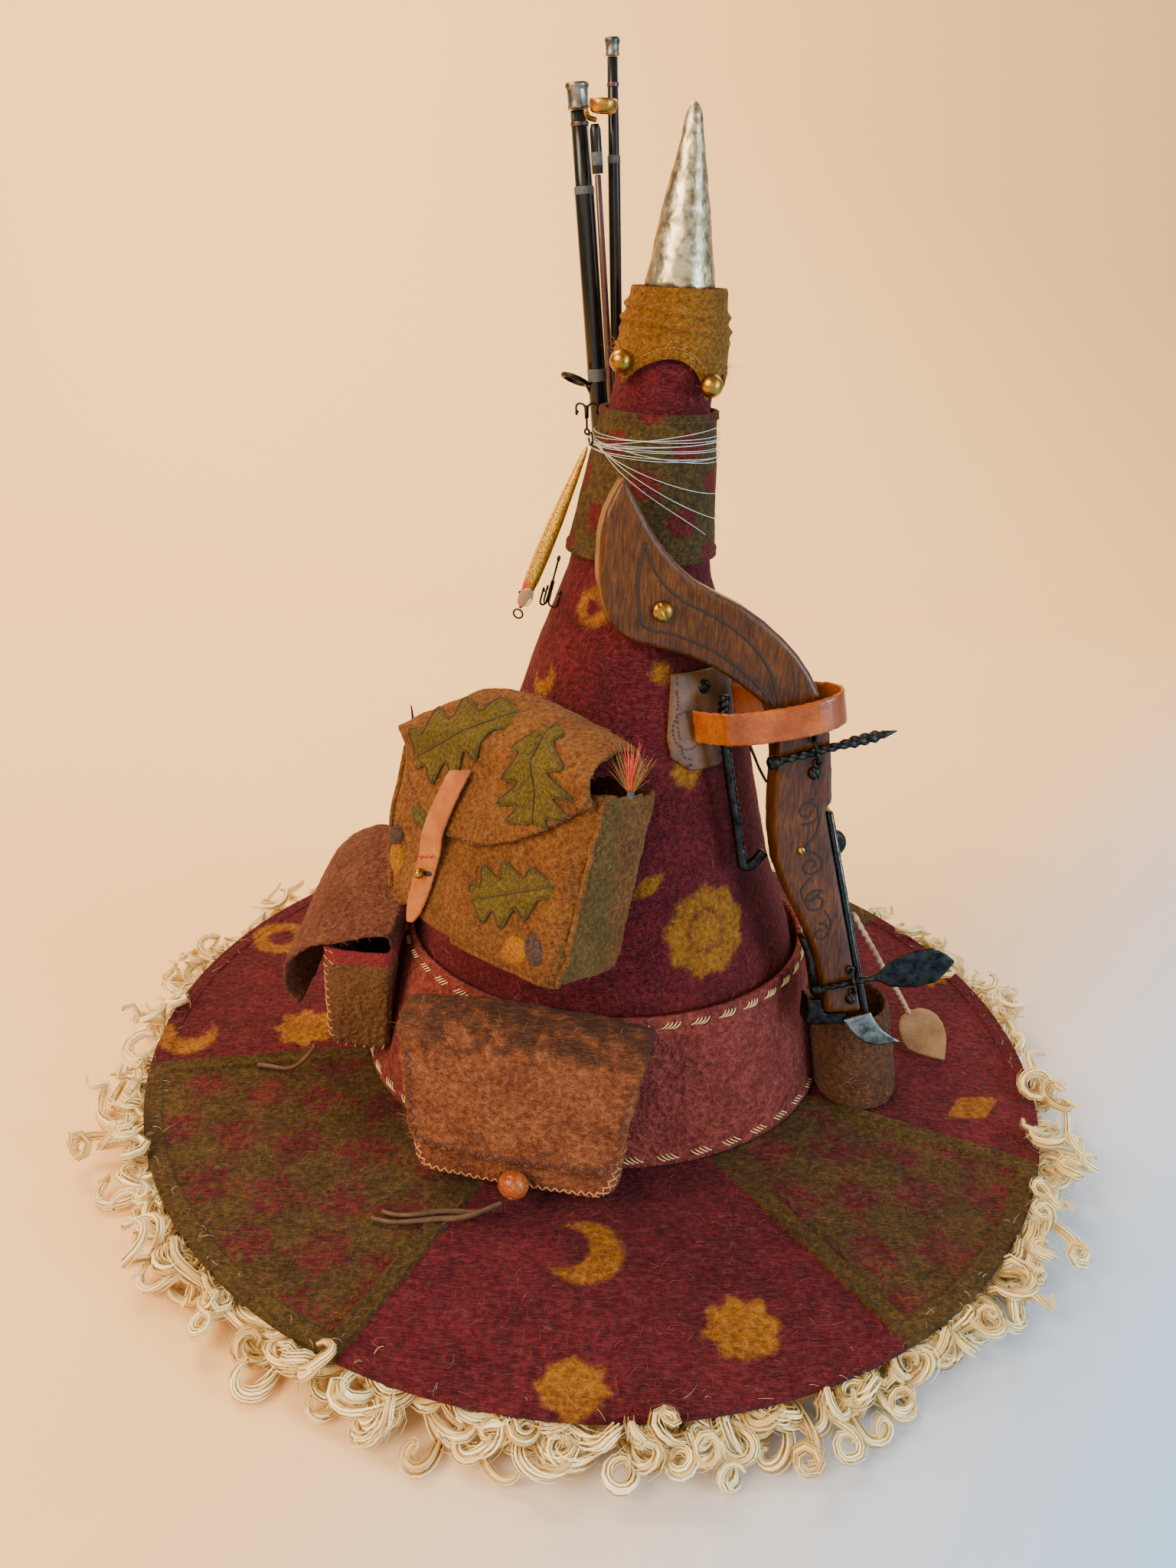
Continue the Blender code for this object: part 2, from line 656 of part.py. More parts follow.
def backpack():
    bag("backpack_body", BACKPACK_FRAME, BACKPACK, BROWN, gap=1.6 * MM)
    top = BACKPACK.height
    crest = ((-1.0, -9.0), (-0.8, -2.0), (-0.6, 5.5), (-0.3, 9.5), (0.1, 8.5), (0.4, 5.0), (0.7, 2.0), (1.0, -2.0))
    rows = [FlapRow(*row) for row in (
        (top + 4.0, 1.0, 50.0, 50.0, 0.1), (top + 16.0, 14.0, 53.0, 54.0, 0.9),
        (top + 17.0, 26.0, 54.0, 56.0, 1.0), (top + 12.5, 38.0, 55.0, 58.0, 0.7), (top + 5.0, 45.5, 56.0, 61.0, 0.2),
        (top - 5.0, None, 55.0, 60.0, 0.0), (top - 13.0, None, 52.0, 49.0, 0.0), (top - 21.0, None, 46.0, 38.0, 0.0),
        (top - 29.0, None, 36.0, 24.0, 0.0), (top - 36.0, None, 20.0, 3.0, 0.0),
    )]
    flap("backpack_flap", BACKPACK_FRAME, BACKPACK, rows, crest, BROWN)
    matrix = frame_matrix(BACKPACK_FRAME)
    # The strap lies on the flap, bends over its edge and hangs down the front
    strap = [(-10.5, top - 6.0, 5.6), (-14.0, top - 16.0, 5.9), (-17.0, top - 26.0, 6.0), (-20.0, top - 36.0, 5.4),
             (-22.5, top - 45.0, 2.6), (-25.0, top - 55.0, 1.4), (-27.5, top - 66.0, 1.2), (-29.5, top - 75.0, 1.3),
             (-30.5, top - 79.5, 1.5)]
    halves = (7.0, 7.0, 7.0, 7.0, 7.0, 6.8, 6.4, 4.6, 2.0)
    grid = []
    for (x, y, off), half in zip(strap, halves):
        line = []
        for side in (-1.0, 0.0, 1.0):
            across = x + side * half
            line.append(Vector((across, y + side * half * 0.22, bag_depth(BACKPACK, x, y) + off)) * MM)
        grid.append(line)
    sheet("backpack_strap", grid, 1.6 * MM, LEATHER, matrix, side=-1.0)
    x, y, _ = strap[5]
    stud = Matrix.Translation(Vector((x, y, bag_depth(BACKPACK, x, y) + 1.4 + 1.6 + 2.6)) * MM)
    ball("backpack_stud", 2.4 * MM, matrix @ stud, GOLD)


def cone(name, foot, tip, foot_radius, tip_radius, paint, matrix, sides=8):
    # A straight taper between two points of the frame, in millimetres
    foot, tip = Vector(foot), Vector(tip)
    turn = (tip - foot).to_track_quat("Z", "Y").to_matrix().to_4x4()
    turn.translation = foot * MM
    length = (tip - foot).length
    rings = []
    for height, radius in ((0.0, foot_radius), (length, tip_radius)):
        rings.append([polar(radius * MM, 2 * math.pi * k / sides, height * MM) for k in range(sides)])
    return loft(name, rings, paint, matrix @ turn, cap_first=True, cap_last=True)


def backpack_trimmings():
    # An iron thorn beside the bag and a fishing fly at the corner of its mouth
    matrix = frame_matrix(BACKPACK_FRAME)
    cone("iron_spike", (-65.0, 60.0, 24.0), (-78.0, 91.0, 24.0), 2.2, 0.3, BLACK_IRON, matrix)
    cone("fishing_fly", (62.4, 79.0, 22.0), (64.5, 103.0, 23.0), 0.9, 4.2, DARK_LEATHER, matrix)


def front_pouch():
    bag("front_pouch_body", FRONT_POUCH_FRAME, FRONT_POUCH, BROWN, cling=True)
    top, depth = FRONT_POUCH.height, FRONT_POUCH.top_depth
    crest = ((-1.0, -4.0), (-0.75, -2.2), (-0.5, -1.0), (0.0, 0.0), (0.5, -1.0), (0.75, -2.2), (1.0, -4.0))
    rows = [FlapRow(*row) for row in (
        (top + 8.0, 1.0, 56.0, 56.0, 1.0), (top + 9.5, 8.0, 57.0, 57.0, 1.0), (top + 7.0, 17.0, 57.0, 57.0, 0.8),
        (top + 1.5, depth + 1.5, 56.0, 56.0, 0.5), (top - 6.0, None, 54.5, 54.5, 0.0),
        (top - 26.0, None, 51.5, 51.5, 0.0), (top - 46.0, None, 48.5, 48.5, 0.0),
        (top - 51.0, None, 45.0, 45.0, 0.0), (top - 53.5, None, 39.0, 39.0, 0.0),
    )]
    flap("front_pouch_flap", FRONT_POUCH_FRAME, FRONT_POUCH, rows, crest, BROWN)
    matrix = frame_matrix(FRONT_POUCH_FRAME)
    bead = matrix @ (Vector((3.0, 8.0, bag_depth(FRONT_POUCH, 3.0, 8.0) + 7.4)) * MM)
    ball("toggle_bead", 6.8 * MM, bead, WOOD, 12, 8, 0.9)


def left_pouch():
    # Its flap stands higher at the far end and curls in again below its outer edge
    bag("left_pouch_body", LEFT_POUCH_FRAME, LEFT_POUCH, BROWN)
    crest = ((-1.0, 8.0), (-0.6, 9.0), (0.0, 2.0), (0.6, -5.5), (1.0, -10.0))
    rows = [FlapRow(*row) for row in (
        (60.5, 2.4, 36.0, 38.0, 0.0), (76.0, 3.0, 36.0, 42.0, 0.6), (78.0, 13.0, 36.0, 43.0, 1.0),
        (76.5, 26.0, 37.0, 44.0, 1.3),
        (70.5, 39.0, 38.0, 44.0, 1.1), (62.5, 46.5, 37.0, 44.0, 0.9), (54.5, 50.5, 36.0, 44.0, 0.7),
        (41.5, 51.5, 35.0, 43.0, 0.5), (31.5, 48.5, 34.0, 42.0, 0.4), (29.5, 44.0, 34.0, 41.0, 0.4),
    )]
    flap("left_pouch_flap", LEFT_POUCH_FRAME, LEFT_POUCH, rows, crest, BROWN)


def side_pocket():
    # A round open pocket that leans back against the band, its rings up the outside and down the inside
    wall, low, high = 2.2, 24.5, 75.0
    profile = ((low, 14.0, 0.0), (low + 0.5, 19.0, 0.0), (low + 3.6, 21.0, 0.0), (45.0, 21.5, 0.0),
               (high, 20.5, 0.0), (high, 20.5 - wall, wall), (45.0, 21.5 - wall, wall),
               (low + 4.6, 21.0 - wall, wall), (low + 2.4, 18.0 - wall, wall))
    rings = []
    for height, radius, depth in profile:
        share = (height - low) / (high - low)
        middle = Vector((between(135.0, 126.0, share), between(-35.0, -27.0, share), height)) * MM
        ring = []
        for k in range(18):
            point = middle + polar(radius * MM, 2 * math.pi * k / 18)
            ring.append(clear_of_crown(point, FACET_GAP + depth * MM))
        rings.append(ring)
    loft("side_pocket", rings, BROWN, cap_first=True, cap_last=True)


def plate(name, outline, low, high, paint, matrix, bevel=0.0, smooth=False, steps=3):
    # A flat outline in the frame's plane, filled between two distances from it, in millimetres
    curve = bpy.data.curves.new(name, "CURVE")
    curve.dimensions = "2D"
    curve.fill_mode = "BOTH"
    curve.extrude = (high - low) / 2 * MM - bevel * MM
    curve.bevel_depth = bevel * MM
    curve.bevel_resolution = 0
    curve.resolution_u = steps
    curve.offset = -bevel * MM
    spline = curve.splines.new("BEZIER" if smooth else "POLY")
    spline.use_cyclic_u = True
    if smooth:
        spline.bezier_points.add(len(outline) - 1)
        for place, (x, y, kind) in zip(spline.bezier_points, outline):
            place.co = (x * MM, y * MM, 0.0)
            place.handle_left_type = place.handle_right_type = kind
    else:
        spline.points.add(len(outline) - 1)
        for place, (x, y) in zip(spline.points, outline):
            place.co = (x * MM, y * MM, 0.0, 1.0)
    piece = bpy.data.objects.new(name, curve)
    curve.materials.append(paint)
    piece.matrix_world = matrix @ Matrix.Translation((0.0, 0.0, (high + low) / 2 * MM))
    HAT.objects.link(piece)
    return piece


def crossbow_stock(matrix):
    # The side of the stock: a hooked grip above, a long straight part below
    soft, hard = "AUTO", "VECTOR"
    outline = ((-111.9, 248.0, hard), (-119.0, 234.0, soft), (-121.2, 217.0, soft), (-119.0, 197.0, soft),
               (-112.0, 184.5, soft), (-98.7, 179.8, soft), (-80.0, 174.5, soft), (-60.0, 163.5, soft),
               (-46.0, 152.5, hard), (-41.5, 139.0, soft), (-41.0, 112.0, soft), (-37.0, 80.0, soft),
               (-23.6, 53.0, soft), (-14.6, 33.7, soft), (-7.4, 4.6, hard), (10.0, 5.0, hard), (-16.8, 106.5, hard),
               (-14.0, 109.5, hard), (-16.5, 133.0, soft), (-20.3, 150.0, soft), (-29.0, 168.0, soft),
               (-42.0, 183.0, soft), (-60.0, 196.5, soft), (-80.0, 206.5, soft), (-95.0, 220.5, soft),
               (-104.5, 235.0, soft))
    return plate("crossbow_stock", outline, -STOCK_THICKNESS / MM, 0.0, WOOD, matrix, 1.2, True, 2)


def bolt(name, start, end, sections, matrix, paint=BLACK_IRON):
    # A small arrow: each section is a distance along it, a half width and a half thickness, in mm
    a, b = Vector(start), Vector(end)
    along = (b - a).normalized()
    across = Vector((-along.y, along.x, 0.0))
    rings = []
    for distance, half, thick in sections:
        ring = []
        for k in range(6):
            angle = 2 * math.pi * k / 6
            ring.append((a + along * distance + across * half * math.cos(angle)
                         + Vector((0.0, 0.0, thick * math.sin(angle)))) * MM)
        rings.append(ring)
    return loft(name, rings, paint, matrix, cap_first=True, cap_last=True)


def dome(name, radius, height, place, paint, matrix):
    # A screw head or stud, standing on the frame's plane
    profile = [(radius * math.sin(radians(a)), height * math.cos(radians(a))) for a in (0, 45, 90)]
    return turned(name, profile + [(0.0, 0.0)], paint, matrix @ Matrix.Translation(Vector(place) * MM), 10)


def crossbow():
    matrix = frame_matrix(CROSSBOW_FRAME)
    crossbow_stock(matrix)
    dome("grip_screw", 4.4, 2.6, (-94.4, 194.5, GAP / MM), GOLD, matrix)
    dome("small_screw", 1.8, 1.0, (-26.7, 87.7, GAP / MM), GOLD, matrix)
    dome("upper_bolt_screw", 3.0, 2.4, (-24.0, 124.0, GAP / MM), BLACK_IRON, matrix)
    dome("lower_bolt_screw", 2.6, 2.4, (3.4, 12.6, GAP / MM), BLACK_IRON, matrix)
    # A dark rail lies along the right edge of the long part, and a short one along the left
    plate("crossbow_rail", ((-15.5, 104.0), (-12.3, 104.6), (14.8, 2.4), (11.4, 1.8)), -12.0, -3.0,
          BLACK_LACQUER, matrix)
    plate("crossbow_left_rail", ((-22.6, 43.0), (-20.6, 44.0), (-15.8, 33.4), (-11.2, 13.4), (-13.6, 12.6),
                                 (-18.0, 32.6)), -9.0, -2.0, BLACK_IRON, matrix)
    plate("crossbow_prod_block", ((-16.4, -2.0), (3.0, -2.0), (3.0, 4.0), (-8.0, 4.0), (-10.2, 11.6),
                                  (-16.4, 11.6)), -13.0, -1.6, BLACK_IRON, matrix)
    plate("crossbow_limb", ((1.0, 1.0, "VECTOR"), (7.0, -7.0, "AUTO"), (17.0, -13.0, "AUTO"),
                            (31.0, -12.0, "VECTOR"), (22.0, -6.0, "AUTO"), (17.0, 0.0, "AUTO"),
                            (14.4, 4.4, "VECTOR")), -1.2, 0.0, STEEL, matrix, 0.0, True)
    knob = matrix @ Matrix.Translation(Vector((-6.0, 83.4, -21.4)) * MM)
    turned("crossbow_knob", ((0.0, 5.0), (5.6, 5.0), (7.0, 3.6), (7.0, 1.4), (5.6, 0.0), (0.0, 0.0)),
           BLACK_IRON, knob, 14)
    trigger = [(-64.0, 157.0, -8.0), (-64.0, 146.0, -8.0), (-62.0, 133.0, -8.0), (-57.0, 108.0, -8.0),
               (-52.0, 84.0, -8.0), (-50.5, 78.0, -8.0), (-46.5, 78.5, -8.0), (-41.4, 84.5, -8.0)]
    tube("crossbow_trigger", [Vector(p) * MM for p in smooth_route(trigger, 1)], 2.5 * MM, BLACK_IRON, matrix, 1)
    wire = [(-58.6, 134.0, -8.0), (-55.5, 136.5, -8.0), (-51.5, 134.5, -8.0), (-47.0, 125.0, -8.0),
            (-42.6, 117.4, -8.0)]
    tube("crossbow_trigger_wire", [Vector(p) * MM for p in smooth_route(wire, 2)], 0.8 * MM, BLACK_IRON, matrix)
    bolt("upper_bolt", (-46.0, 129.0, 2.3), (13.6, 144.0, 2.3),
         ((0.0, 1.6, 1.6), (1.0, 3.0, 2.8), (4.0, 3.0, 2.8), (5.5, 1.9, 1.9), (22.0, 2.2, 2.2), (33.0, 2.0, 2.0),
          (38.0, 2.9, 2.2), (49.0, 2.9, 2.0), (53.5, 1.5, 1.4), (58.4, 0.3, 0.3)), matrix)
    bolt("lower_bolt", (-17.0, 18.4, 1.8), (51.6, 31.0, 1.8),
         ((0.0, 1.6, 1.6), (1.0, 2.8, 2.5), (4.0, 2.8, 2.5), (5.5, 1.7, 1.7), (30.0, 1.6, 1.6), (33.0, 2.6, 1.0),
          (38.0, 6.6, 0.7), (50.0, 9.6, 0.7), (60.0, 9.0, 0.7), (66.0, 4.6, 0.6), (69.4, 0.6, 0.4)), matrix)
    holster_strap()


def holster_strap():
    # Runs from the patch across the front of the stock, round it and back to the crown
    route = ((36.0, -47.0, 224.5), (50.0, -57.0, 227.5), (66.0, -59.4, 230.5), (82.0, -58.4, 233.8),
             (93.0, -55.4, 236.2), (99.0, -50.0, 237.4), (100.0, -43.0, 237.4), (95.0, -36.4, 236.6),
             (84.0, -32.8, 235.0), (70.0, -30.0, 233.0), (54.0, -27.0, 231.0))
    points = smooth_route(route, 2)
    slope = Vector((-0.2, 0.1, 1.0)).normalized()
    half = 7.6
    grid = []
    for point in points:
        line = []
        for side in (-1.0, 1.0):
            place = (point + slope * half * side) * MM
            line.append(clear_of_crown(place, 3.4 * MM))
        grid.append(line)
    sheet("holster_strap", grid, 1.8 * MM, LEATHER, None, side=0.0)


def holster_patch():
    # A leather patch on the crown, wider above and pointed below
    rows = ((247.0, -72.0, -26.0), (240.0, -72.0, -25.0), (230.0, -73.0, -26.0), (220.0, -74.0, -30.0),
            (211.0, -72.0, -38.0), (204.0, -62.0, -46.0))
    grid = []
    for height, left, right in rows:
        line = []
        for k in range(7):
            line.append(on_crown(between(left, right, k / 6), height * MM, 0.8 * MM))
        grid.append(line)
    sheet("holster_patch", grid, 1.4 * MM, DARK_LEATHER, None, side=-1.0)
    seat = on_crown(-51.0, 240.0 * MM, 2.6 * MM)
    shift, _, _ = crown_section(240.0 * MM)
    out = Vector((seat.x - shift, seat.y, 0.012)).normalized()
    place = out.to_track_quat("Z", "Y").to_matrix().to_4x4()
    place.translation = seat
    turned("patch_rivet", ((0.0, 2.4), (2.0, 2.0), (3.2, 0.9), (3.4, 0.0), (0.0, 0.0)), BLACK_IRON, place, 12)


def wire_ring(name, centre, facing, radius, wire, paint, sides=10):
    # A closed ring of wire round the facing direction
    turn = Vector(facing).to_track_quat("Z", "Y").to_matrix()
    points = [Vector(centre) * MM + turn @ (polar(radius, 2 * math.pi * k / sides) * MM) for k in range(sides)]
    return tube(name, points, wire * MM, paint, cyclic=True)


def treble_hook(name, eye, bend, spread):
    # Three hooks that grow out of the sides of one three-sided shank, from its eye to the bend, in mm
    eye, bend = Vector(eye), Vector(bend)
    along = (bend - eye).normalized()
    turn = along.to_track_quat("Z", "Y").to_matrix()
    shank, wire = 0.9, 1.1
    verts, faces = [], [(2, 1, 0)]
    for place in (eye, bend - along * wire, bend):
        verts += [place + turn @ polar(shank, radians(120 * k)) for k in range(3)]
    for k in range(3):
        after = (k + 1) % 3
        faces.append((k, after, 3 + after, 3 + k))
        out = turn @ polar(1.0, radians(60 + 120 * k))
        across = along.cross(out)
        root = bend - along * wire / 2 + out * shank / 2
        last = [3 + k, 3 + after, 6 + after, 6 + k]
        for angle, rise, share in ((40.0, 0.0, 0.9), (90.0, 0.0, 0.8), (90.0, 0.5 * (bend - eye).length, 0.25)):
            s, c = math.sin(radians(angle)), math.cos(radians(angle))
            centre = root + out * spread * s - along * (spread * (1.0 - c) + rise)
            over = -along * c - out * s
            ring = []
            for side, level in ((-1, 1), (1, 1), (1, -1), (-1, -1)):
                ring.append(len(verts))
                verts.append(centre + (across * side + over * level) * wire / 2 * share)
            for j in range(4):
                faces.append((last[j], last[(j + 1) % 4], ring[(j + 1) % 4], ring[j]))
            last = ring
        faces.append(tuple(last))
    faces.append((6, 7, 8))
    mesh = bpy.data.meshes.new(name)
    mesh.from_pydata([vert * MM for vert in verts], [], faces)
    return soften(add_object(name, mesh, BLACK_IRON))


def lure():
    # A minnow hanging nose down along the slope: the tail ring is above, the clear lip below
    tail, nose = Vector((-15.5, -6.0, 335.0)), Vector((-43.5, -8.0, 262.0))
    along = (nose - tail).normalized()
    matrix = (along).to_track_quat("Z", "Y").to_matrix().to_4x4()
    matrix.translation = tail * MM
    rings = []
    for distance, half in ((0.0, 0.8), (4.0, 1.5), (16.0, 2.6), (34.0, 3.9), (52.0, 4.3), (64.0, 4.0),
                           (72.0, 2.9), (77.0, 1.2)):
        ring = []
        for k in range(10):
            angle = 2 * math.pi * k / 10
            ring.append(Vector((half * math.cos(angle), half * 0.82 * math.sin(angle), distance)) * MM)
        rings.append(ring)
    loft("lure_body", rings, GOLD, matrix, cap_first=True, cap_last=True)
    lip = ((-2.4, 0.0), (-3.4, 5.0), (-2.4, 9.5), (0.0, 11.0), (2.4, 9.5), (3.4, 5.0), (2.4, 0.0))
    seat = matrix @ Matrix.Translation(Vector((2.8, 0.0, 74.8)) * MM) @ Matrix.Rotation(radians(62), 4, "Y")
    plate("lure_lip", [(y, x) for x, y in lip], -0.5, 0.5, CLEAR_PLASTIC, seat)
    wire_ring("lure_tail_ring", (-14.1, -6.3, 338.3), (1.0, 0.3, 0.0), 2.6, 0.5, BLACK_IRON)
    wire_ring("lure_nose_ring", (-43.9, -8.1, 260.4), (0.3, 1.0, 0.2), 2.2, 0.45, BLACK_IRON)
    treble_hook("lure_tail_hook", (-15.8, -8.2, 342.4), (-16.4, -9.2, 352.6), 4.6)
    treble_hook("lure_belly_hook", (-26.4, -9.0, 285.6), (-31.0, -10.6, 266.0), 4.2)


def rod_guides():
    # A dark line guide on the thick rod and a gold one on a bent stem at the end of the tip section
    wire_ring("thick_rod_guide", (-22.4, 24.2, 359.2), (0.35, 0.3, 1.0), 5.6, 1.1, BLACK_IRON)
    matrix, length = rod_matrix(TIP_ROD)
    sleeve = matrix @ Matrix.Translation((0.0, 0.0, (length + 0.3) * MM))
    turned("tip_rod_sleeve", ((0.0, 18.0), (1.6, 18.0), (2.2, 16.5), (2.3, 0.0), (0.0, 0.0)), BLACK_LACQUER, sleeve, 10)
    stem = smooth_route(((-17.4, 17.6, 459.6), (-20.2, 15.0, 460.2), (-21.4, 13.0, 462.6)), 2)
    tube("tip_guide_stem", [p * MM for p in stem], 1.0 * MM, GOLD)
    stand = Matrix.Translation(Vector((-14.4, 14.6, 461.6)) * MM)
    turned("tip_guide", ((3.4, 5.2), (5.4, 5.2), (5.8, 4.0), (5.0, 0.6), (3.4, 0.0), (3.0, 2.6), (3.4, 5.2)),
           GOLD, stand, 12)


def ties():
    # Leather thongs of the two pouches, which lie on the brim to their knotted ends.
    # Their routes are in millimetres, each from where it leaves its piece
    routes = {
        "front_tie_long": ((-38.6, -137.6, 35.4), (-44.0, -139.4, 33.6), (-51.0, -139.8, 30.0), (-58.0, -139.2, 27.0),
                           (-66.0, -139.0, 26.0), (-76.0, -140.4, 25.6), (-86.0, -141.0, 25.0), (-95.0, -139.4, 25.0)),
        "front_tie_short": ((-38.8, -134.6, 32.4), (-44.0, -135.6, 29.2), (-51.0, -134.8, 26.6), (-58.0, -134.2, 26.0),
                            (-66.0, -134.6, 25.9), (-75.0, -136.4, 25.6), (-84.0, -136.8, 25.0), (-91.0, -135.2, 25.0)),
        "left_tie": ((-139.6, -46.8, 45.0), (-142.0, -46.2, 40.6), (-147.0, -44.6, 33.4), (-152.6, -42.6, 27.4),
                     (-158.4, -40.8, 24.9), (-165.0, -39.4, 24.8), (-172.0, -38.6, 24.8)),
    }
    for name, route in routes.items():
        tube(name, [Vector(p) * MM for p in smooth_route(route, 2)], THONG_RADIUS, DARK_LEATHER, None, 2)


def tab_cord():
    # A twisted cord from the rail down to a leather tab that leans on the brim
    route = ((116.6, -51.2, 136.5), (122.0, -47.5, 127.0), (132.5, -39.0, 109.0), (142.8, -30.5, 91.0),
             (155.0, -17.5, 70.2), (165.9, -4.3, 50.2))
    tube("tab_cord", [Vector(p) * MM for p in smooth_route(route, 2)], 1.6 * MM, LEATHER, None, 2)
    matrix = frame_matrix(TAB_FRAME)
    outline = ((-13.5, 15.0, "AUTO"), (-13.0, 24.0, "AUTO"), (-3.0, 29.0, "AUTO"), (7.0, 25.0, "AUTO"),
               (12.5, 14.0, "AUTO"), (12.0, 0.0, "VECTOR"), (2.0, 2.6, "AUTO"), (-9.0, 7.0, "AUTO"))
    plate("leather_tab", outline, -0.8, 0.8, LEATHER, matrix, 0.0, True, 2)


brim()
fleece_fringe()
crown()
hat_band()
cone_wrap()
gold_collar()
collar_beads()
silver_tip()
rods()
backpack()
backpack_trimmings()
front_pouch()
left_pouch()
side_pocket()
crossbow()
holster_patch()
lure()
rod_guides()
ties()
tab_cord()
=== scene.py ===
# A wizard's hat of wet felt with a curled fleece edge, small felt bags, rod ends, a lure and a toy
# crossbow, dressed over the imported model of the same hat. Metres, +Z up, the front faces -Y.
import math
import random

import bmesh
import bpy
import numpy as np
from mathutils import Matrix, Vector, noise
from mathutils.bvhtree import BVHTree


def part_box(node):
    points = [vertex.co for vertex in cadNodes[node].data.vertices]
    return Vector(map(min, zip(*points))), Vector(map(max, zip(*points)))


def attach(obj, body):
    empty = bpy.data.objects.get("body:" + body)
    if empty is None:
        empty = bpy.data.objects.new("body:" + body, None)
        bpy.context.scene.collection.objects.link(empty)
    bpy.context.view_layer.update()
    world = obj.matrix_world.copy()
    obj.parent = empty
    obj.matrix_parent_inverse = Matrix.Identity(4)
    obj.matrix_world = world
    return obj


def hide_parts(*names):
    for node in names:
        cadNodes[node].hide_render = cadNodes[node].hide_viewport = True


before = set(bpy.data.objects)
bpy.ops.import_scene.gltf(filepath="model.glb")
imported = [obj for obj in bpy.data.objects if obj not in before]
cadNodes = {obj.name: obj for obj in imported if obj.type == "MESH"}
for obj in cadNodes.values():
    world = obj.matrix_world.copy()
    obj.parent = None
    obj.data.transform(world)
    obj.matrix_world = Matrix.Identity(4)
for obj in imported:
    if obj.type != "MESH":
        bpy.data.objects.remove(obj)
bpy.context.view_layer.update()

mm = 0.001
tau = 2 * math.pi


# small helpers

def say(words):
    print("wizard hat:", words)


def lerp(a, b, share):
    return a + (b - a) * share


def smoothStep(low, high, value):
    share = min(1.0, max(0.0, (value - low) / (high - low)))
    return share * share * (3 - 2 * share)


def polar(radius, azimuth, height=0.0):
    return Vector((radius * math.cos(azimuth), radius * math.sin(azimuth), height))


def wool(point, size, seed=0.0):
    # smooth noise from -1 to 1 with lumps about this many millimetres across
    return noise.noise(Vector(point) / (size * mm) + Vector((seed, seed * 1.7, -seed)))


def tone(red, green, blue):
    # a colour as the eye reads it, 0 to 255, turned into the linear values that the shader takes
    made = []
    for part in (red, green, blue):
        share = part / 255
        made.append(share / 12.92 if share <= 0.04045 else ((share + 0.055) / 1.055) ** 2.4)
    return (*made, 1.0)


def frameMatrix(x, y, z, facing, lean, turn):
    # local X to the right as one faces the piece, Y up along it, Z out of it; millimetres and degrees
    facing, lean, turn = math.radians(facing), math.radians(lean), math.radians(turn)
    out = Vector((math.cos(facing) * math.cos(lean), math.sin(facing) * math.cos(lean), math.sin(lean)))
    right = Vector((-math.sin(facing), math.cos(facing), 0.0))
    up = out.cross(right)
    turned = right * math.cos(turn) + up * math.sin(turn)
    up = up * math.cos(turn) - right * math.sin(turn)
    matrix = Matrix((turned, up, out)).transposed().to_4x4()
    matrix.translation = Vector((x, y, z)) * mm
    return matrix


def smoothRoute(points, steps):
    # points along a smooth curve through the given ones, steps for each stretch
    route = [Vector(point) for point in points]
    padded = [route[0] * 2 - route[1]] + route + [route[-1] * 2 - route[-2]]
    curve = []
    for k in range(1, len(padded) - 2):
        a, b, c, d = padded[k - 1:k + 3]
        for step in range(steps):
            t = step / steps
            curve.append(0.5 * ((2 * b) + (c - a) * t + (2 * a - 5 * b + 4 * c - d) * t * t
                                + (3 * b - a - 3 * c + d) * t ** 3))
    curve.append(route[-1])
    return curve


def routeLength(points):
    return sum((b - a).length for a, b in zip(points, points[1:]))


def framesAlong(route):
    # (point, ahead, side, other) at each point of a route; the sides turn no more than they must
    side = None
    for k, point in enumerate(route):
        ahead = (route[min(k + 1, len(route) - 1)] - route[max(k - 1, 0)]).normalized()
        if side is None:
            side = ahead.orthogonal().normalized()
        side = (side - ahead * side.dot(ahead)).normalized()
        yield point, ahead, side, ahead.cross(side)


# pieces: a slot is a name given with a piece, which only decides whether it rides on the root, and nodes are
# the solids it stands for

def settle(piece, slot, *nodes):
    # the hat is one rigid body, so each piece rides on its root
    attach(piece, "root")
    if nodes:
        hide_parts(*nodes)
    return piece


def addPiece(name, mesh, finish, slot=None, *nodes):
    mesh.materials.append(finishes[finish])
    mesh.shade_smooth()
    piece = bpy.data.objects.new(name, mesh)
    bpy.context.scene.collection.objects.link(piece)
    return settle(piece, slot, *nodes) if slot else piece


def addFaces(name, verts, faces, finish, slot=None, *nodes):
    mesh = bpy.data.meshes.new(name)
    mesh.from_pydata([tuple(v) for v in verts], [], faces)
    mesh.validate()
    return addPiece(name, mesh, finish, slot, *nodes)


def gridFaces(rows, columns, around=True, along=False, start=0):
    faces = []
    for r in range(rows if along else rows - 1):
        low, high = start + r * columns, start + ((r + 1) % rows) * columns
        for c in range(columns if around else columns - 1):
            after = (c + 1) % columns
            faces.append((low + c, low + after, high + after, high + c))
    return faces


bothEnds = ("first", "last")


def skin(name, rings, finish, slot=None, *nodes, around=True, along=False, ends=()):
    # rings of points, all of the same length, skinned one to the next, and the ends that are capped
    columns = len(rings[0])
    verts = [point for ring in rings for point in ring]
    faces = gridFaces(len(rings), columns, around, along)
    if "first" in ends:
        faces.append(tuple(reversed(range(columns))))
    if "last" in ends:
        faces.append(tuple(range(len(verts) - columns, len(verts))))
    return addFaces(name, verts, faces, finish, slot, *nodes)


